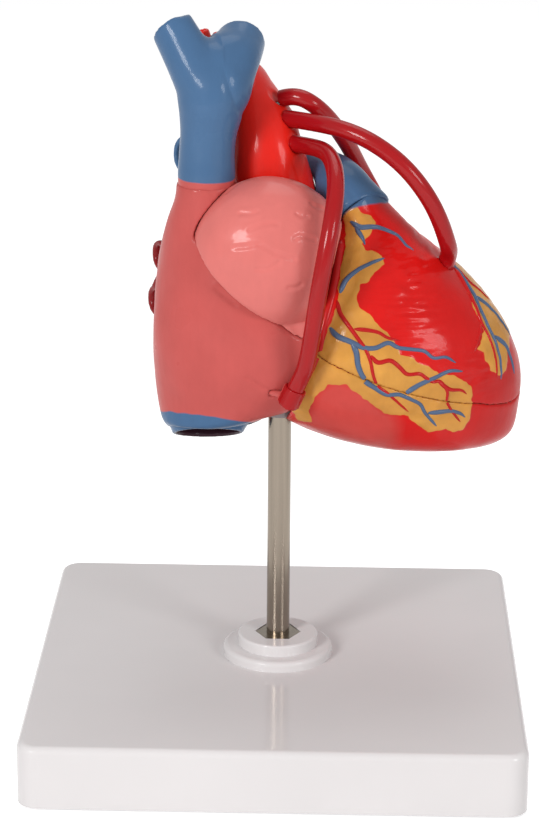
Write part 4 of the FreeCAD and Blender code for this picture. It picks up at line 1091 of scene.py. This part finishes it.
class HEART_OT_vessels(bpy.types.Operator):
    """Builds the venae cavae, the aorta, the pulmonary trunk and the pulmonary veins"""

    bl_idname = "heart.vessels"
    bl_label = "Great vessels"

    def execute(self, context):
        paints = context.scene.heart_paints
        blue = paint_material(
            "Blue vessel paint", paints.blue_vessel, paints.blue_lumen_shaded, amount=0.4, shade=0.86,
            patch=paints.atrium,
        )
        red = paint_material(
            "Aorta paint", paints.red_vessel, paints.red_lumen_shaded, amount=0.4, shade=0.8
        )
        vein = paints.vein_red
        # the stubs' insides are their red at 0.6, painted shade in their open ends
        dark = paint_material("Pulmonary vein paint", vein, shade_of(vein, 0.6))
        pieces = (
            ("superior_vena_cava", "upper_cava", blue, "blue_vessel", slim_cava),
            ("inferior_vena_cava", "lower_cava", blue, "blue_vessel", opened_forward),
            ("pulmonary_trunk", "pulmonary_trunk_shell", blue, "blue_vessel", rooted_trunk),
            ("aorta", "aorta_shell", red, "red_vessel", cone_aorta),
            ("right_pulmonary_veins", "right_vein_stubs", dark, "vein_red", parted_veins),
            ("left_pulmonary_veins", "left_vein_stubs", dark, "vein_red", None),
        )
        for node, name, material, slot, reshape in pieces:
            piece = moulded_copy(node, name, VESSEL_GRAIN * MM, 5, reshape)
            places = places_of(piece)
            normals = normals_of(piece)
            hollow = enclosed(places, normals, surface_tree(piece), VESSEL_WIDTH)
            lift = lumps(places, 14.0, seed=5.0, height=0.2)
            patch = np.full(len(places), BARE)
            if node == "superior_vena_cava":
                lift += fork_fill(places) * (1 - hollow)
                ragged = lumps(places, 8.0, seed=2.0, height=0.5)
                patch = CAVA_PAINT + ragged - places[:, 2]
            if node == "inferior_vena_cava":
                # the lower vein's inner side takes the dark inside colour, painted shade in its
                # open mouth
                inwards = ((places[:, :2] - LOWER_MOUTH) * normals[:, :2]).sum(axis=1) < 0
                hollow = inwards.astype(float)
            store(piece, hollow=hollow, patch=patch)
            move_vertices(piece, places + normals * lift[:, None])
            if node == "superior_vena_cava":
                apply_modifier(piece, "SMOOTH", factor=0.5, iterations=8)
            finish_piece(piece, material, "heart", slot, node)
        return {"FINISHED"}


# ---- valves, papillary muscles and cords
class HEART_OT_valves(bpy.types.Operator):
    """Finishes the valves, the papillary muscles and the valve cords"""

    bl_idname = "heart.valves"
    bl_label = "Valves and muscles"

    def execute(self, context):
        paints = context.scene.heart_paints
        leaflet = paint_material("Leaflet paint", paints.leaflet)
        muscle = paint_material("Papillary paint", paints.papillary, amount=0.6)
        keep_nodes(leaflet, "tricuspid_valve", "mitral_valve", "aortic_valve", "pulmonary_valve")
        keep_nodes(leaflet, "chordae")
        for node in ("right_papillary_muscles", "left_papillary_muscles"):
            piece = moulded_copy(node, node + "_cast", 0.5 * MM, 4)
            finish_piece(piece, muscle, "heart", "heart_muscle", node)
        return {"FINISHED"}


# ---- bypass grafts
RIGHT_GRAFT = [
    (4.4, 2.1, 257.0), (9.9, -1.7, 257.0), (17.2, -10.3, 257.9), (20.9, -18.6, 255.4),
    (22.5, -28.0, 251.1), (22.6, -36.3, 244.3), (21.0, -44.1, 234.5), (18.7, -47.8, 221.5),
    (15.7, -48.2, 204.0), (13.4, -45.3, 184.9), (11.1, -42.0, 171.1), (8.6, -37.9, 166.0),
    (4.6, -36.7, 156.7),
]
ANTERIOR_GRAFT = [
    (1.5, 6.0, 266.9), (7.0, 2.2, 266.9), (13.8, -2.9, 266.9), (22.9, -9.7, 266.7),
    (32.3, -14.7, 264.5), (41.3, -17.7, 260.0), (50.2, -19.7, 253.4), (57.8, -19.7, 244.5),
    (63.8, -17.6, 234.5), (67.9, -13.7, 223.8), (70.3, -8.8, 215.3), (70.8, -2.3, 212.3),
    (69.1, -1.6, 205.9),
]
CIRCUMFLEX_GRAFT = [
    (-0.6, 10.8, 274.3), (5.1, 8.3, 276.5), (12.3, 5.2, 274.0), (19.0, 12.0, 266.1),
    (23.6, 20.2, 258.6), (28.5, 29.3, 249.1), (31.7, 35.7, 241.3), (35.4, 40.2, 233.6),
    (41.3, 42.0, 223.0), (45.3, 37.7, 214.3), (45.0, 33.8, 209.0),
]


GRAFT_RADIUS = 3.6
CUFF_LINE = [(2.6, -37.3, 152), (9.1, -39.1, 167.2)]
SLEEVE, SLEEVE_SLIMMER = (3.8, 5.2), 0.86  # the sleeve lies between these distances from its line
DOWEL_EDGE = 4.9  # the paint of the dowel behind the sleeve starts this far out
SMOOTH_ANGLE = math.radians(50)


def tube(name, points, radii, steps, sides):
    """A smooth closed tube along these points, in millimetres."""
    start_piece()
    bpy.ops.curve.primitive_nurbs_path_add()
    piece = bpy.context.active_object
    piece.name = name
    curve = piece.data
    curve.dimensions = "3D"
    spline = curve.splines[0]
    spline.points.add(len(points) - len(spline.points))
    for knot, place, radius in zip(spline.points, points, radii):
        knot.co = (*(Vector(place) * MM), 1)
        knot.radius = radius
    spline.order_u = 4
    spline.use_endpoint_u = True
    spline.resolution_u = steps
    curve.bevel_depth = MM
    curve.bevel_resolution = sides
    curve.use_fill_caps = True
    select_only(piece)
    bpy.ops.object.convert(target="MESH")
    piece = bpy.context.active_object
    bpy.ops.object.transform_apply(location=True, rotation=True, scale=True)
    bpy.ops.object.shade_smooth_by_angle(angle=SMOOTH_ANGLE)
    piece.data.name = name
    return piece


def slim_cuff(places):
    """Narrows the sleeve round the right graft's foot."""
    feet, away = line_feet(places, CUFF_LINE)
    nearest, furthest = SLEEVE
    scale = np.where((away > nearest) & (away < furthest), SLEEVE_SLIMMER, 1.0)
    return feet + (places - feet) * scale[:, None]


class HEART_OT_grafts(bpy.types.Operator):
    """Builds the three bypass grafts as smooth tubes, and the sleeve round the right one's foot"""

    bl_idname = "heart.grafts"
    bl_label = "Bypass grafts"

    def execute(self, context):
        paints = context.scene.heart_paints
        look = {"amount": 0.35, "relief": 0.00003}
        material = paint_material("Graft paint", paints.graft, coat=0.4, **look)
        pieces = (
            ("right_graft", "right_graft_tube", RIGHT_GRAFT, "graft"),
            ("anterior_graft", "anterior_graft_tube", ANTERIOR_GRAFT, "front"),
            ("circumflex_graft", "circumflex_graft_tube", CIRCUMFLEX_GRAFT, "heart"),
        )
        for node, name, route, body in pieces:
            piece = tube(name, route, [GRAFT_RADIUS] * len(route), steps=12, sides=12)
            finish_piece(piece, material, body, "graft_red", node)
        cuff = moulded_copy("right_graft_cuff", "right_graft_sleeve", 0.4 * MM, 3, slim_cuff)
        store(cuff, patch=line_distance(places_of(cuff), CUFF_LINE) - DOWEL_EDGE)
        sleeve = paint_material(
            "Sleeve paint", paints.graft, coat=0.3, patch=paints.atrium, **look
        )
        finish_piece(cuff, sleeve, "graft", "graft_red", "right_graft_cuff")
        return {"FINISHED"}


# ---- coronary vessels and fat on the walls
RIGHT_RADIUS, RIGHT_SINK = 2.7, 1.2  # of the right coronary artery
ARTERY_SINK = 0.6  # the arteries' share of the veins' depth
TAPER, END_ROUNDING = 0.55, (0.35, 0.75, 0.93)  # how a vessel narrows along it and at its ends
LINE_STEP, FEWEST_PLACES = 1.2, 4
OFF_WALL = (0, 6, -2)


def clear_of_wall(lines):
    """The lines behind, moved off the wall that they are then laid on."""
    right, back, up = OFF_WALL
    return [[(x + right, y + back, z + up) for x, y, z in line] for line in lines]


class HEART_OT_coronaries(bpy.types.Operator):
    """Lays the coronary vessels on the ventricle walls and fills the groove behind with fat"""

    bl_idname = "heart.coronaries"
    bl_label = "Coronary vessels"

    def execute(self, context):
        paints = context.scene.heart_paints
        sizes = context.scene.heart_sizes
        blue = paint_material("Coronary vein paint", paints.coronary_vein)
        red = paint_material("Coronary artery paint", paints.coronary_artery)
        walls = {"front": bpy.data.objects["front_wall"], "heart": bpy.data.objects["rear_wall"]}
        trees = {body: surface_tree(wall) for body, wall in walls.items()}
        vein, artery = sizes.vein_radius / MM, sizes.artery_radius / MM
        sink = sizes.vessel_sink / MM
        veins = FRONT_VEINS + clear_of_wall(BACK_VEINS)
        arteries = FRONT_ARTERIES + clear_of_wall(BACK_ARTERIES)
        groups = (
            ("veins", veins, vein, sink, blue, "blue_vessel"),
            ("arteries", arteries, artery, sink * ARTERY_SINK, red, "red_vessel"),
            ("right_coronary", [RIGHT_CORONARY], RIGHT_RADIUS, RIGHT_SINK, red, "red_vessel"),
        )
        for name, lines, radius, depth, material, slot in groups:
            runs = {body: [] for body in trees}
            for line in lines:
                self.split_line(smooth_line(line, LINE_STEP), trees, radius, depth, runs)
            for body, parts in runs.items():
                if not parts:
                    continue
                tubes = [tube(f"{name}_{body}", *part, steps=2, sides=3) for part in parts]
                select_only(*tubes)
                if len(tubes) > 1:
                    bpy.ops.object.join()
                piece = bpy.context.active_object
                piece.name = f"{name}_on_{body}"
                piece.data.name = piece.name
                finish_piece(piece, material, body, slot)
        self.groove_fat(paint_material("Groove fat paint", paints.fat, amount=0.6))
        return {"FINISHED"}

    def groove_fat(self, material):
        """Fills the groove between the atria and the ventricles behind with a pad of fat."""
        pad = tube("groove_fat", GROOVE_PAD, GROOVE_PAD_RADII, steps=8, sides=8)
        places = places_of(pad)
        lift = lumps(places, 4.0, seed=2.0, height=0.9)
        move_vertices(pad, places + normals_of(pad) * lift[:, None])
        finish_piece(pad, material, "heart", "heart_muscle")

    def split_line(self, places, trees, radius, sink, runs):
        """Sets each place on the nearest wall and cuts the line where it changes walls."""
        total = len(places)
        current = None
        for index, place in enumerate(places):
            found = {body: tree.find_nearest(Vector(place)) for body, tree in trees.items()}
            body = min(found, key=lambda key: found[key][3])
            spot, normal = found[body][:2]
            taper = radius * (1 - TAPER * index / total)
            from_end = min(index, total - 1 - index)
            if from_end < len(END_ROUNDING):
                taper *= END_ROUNDING[from_end]
            if body != current:
                runs[body].append(([], []))
                current = body
            run_places, run_radii = runs[body][-1]
            run_places.append(tuple(spot - normal * sink * taper / radius))
            run_radii.append(taper)
        for body in runs:
            runs[body] = [run for run in runs[body] if len(run[0]) >= FEWEST_PLACES]


def smooth_line(points, step):
    """Places about a step apart along a smooth line through these points."""
    knots = [Vector(point) for point in points]
    knots = [knots[0] * 2 - knots[1]] + knots + [knots[-1] * 2 - knots[-2]]
    result = []
    for before, start, end, after in zip(knots, knots[1:], knots[2:], knots[3:]):
        count = max(2, round((end - start).length / step))
        first = end - before
        second = 2 * before - 5 * start + 4 * end - after
        third = 3 * start - before - 3 * end + after
        for number in range(count):
            t = number / count
            place = 2 * start + first * t + second * t * t + third * t * t * t
            result.append(0.5 * place)
    result.append(knots[-2])
    return result


# ---- panel, registration and the run
STEPS = ("stage", "stand", "walls", "atria", "vessels", "valves", "grafts", "coronaries")


class HEART_PT_panel(bpy.types.Panel):
    """Lists the model's operators in the sidebar"""

    bl_label = "Heart Model"
    bl_idname = "HEART_PT_panel"
    bl_space_type = "VIEW_3D"
    bl_region_type = "UI"
    bl_category = "Heart Model"

    def draw(self, context):
        for step in STEPS:
            self.layout.operator(f"heart.{step}")


CLASSES = (
    HeartPaints,
    HeartSizes,
    StageSettings,
    HEART_OT_stage,
    HEART_OT_stand,
    HEART_OT_walls,
    HEART_OT_atria,
    HEART_OT_vessels,
    HEART_OT_valves,
    HEART_OT_grafts,
    HEART_OT_coronaries,
    HEART_PT_panel,
)


def register():
    """Registers the classes and the settings."""
    for item in CLASSES:
        bpy.utils.register_class(item)
    bpy.types.Scene.heart_paints = PointerProperty(type=HeartPaints)
    bpy.types.Scene.heart_sizes = PointerProperty(type=HeartSizes)
    bpy.types.Scene.heart_stage = PointerProperty(type=StageSettings)


def unregister():
    """Removes the settings and the classes."""
    del bpy.types.Scene.heart_stage
    del bpy.types.Scene.heart_sizes
    del bpy.types.Scene.heart_paints
    for item in reversed(CLASSES):
        bpy.utils.unregister_class(item)


def main():
    """Builds the whole model."""
    register()
    for step in STEPS:
        getattr(bpy.ops.heart, step)()


if __name__ == "__main__":
    main()
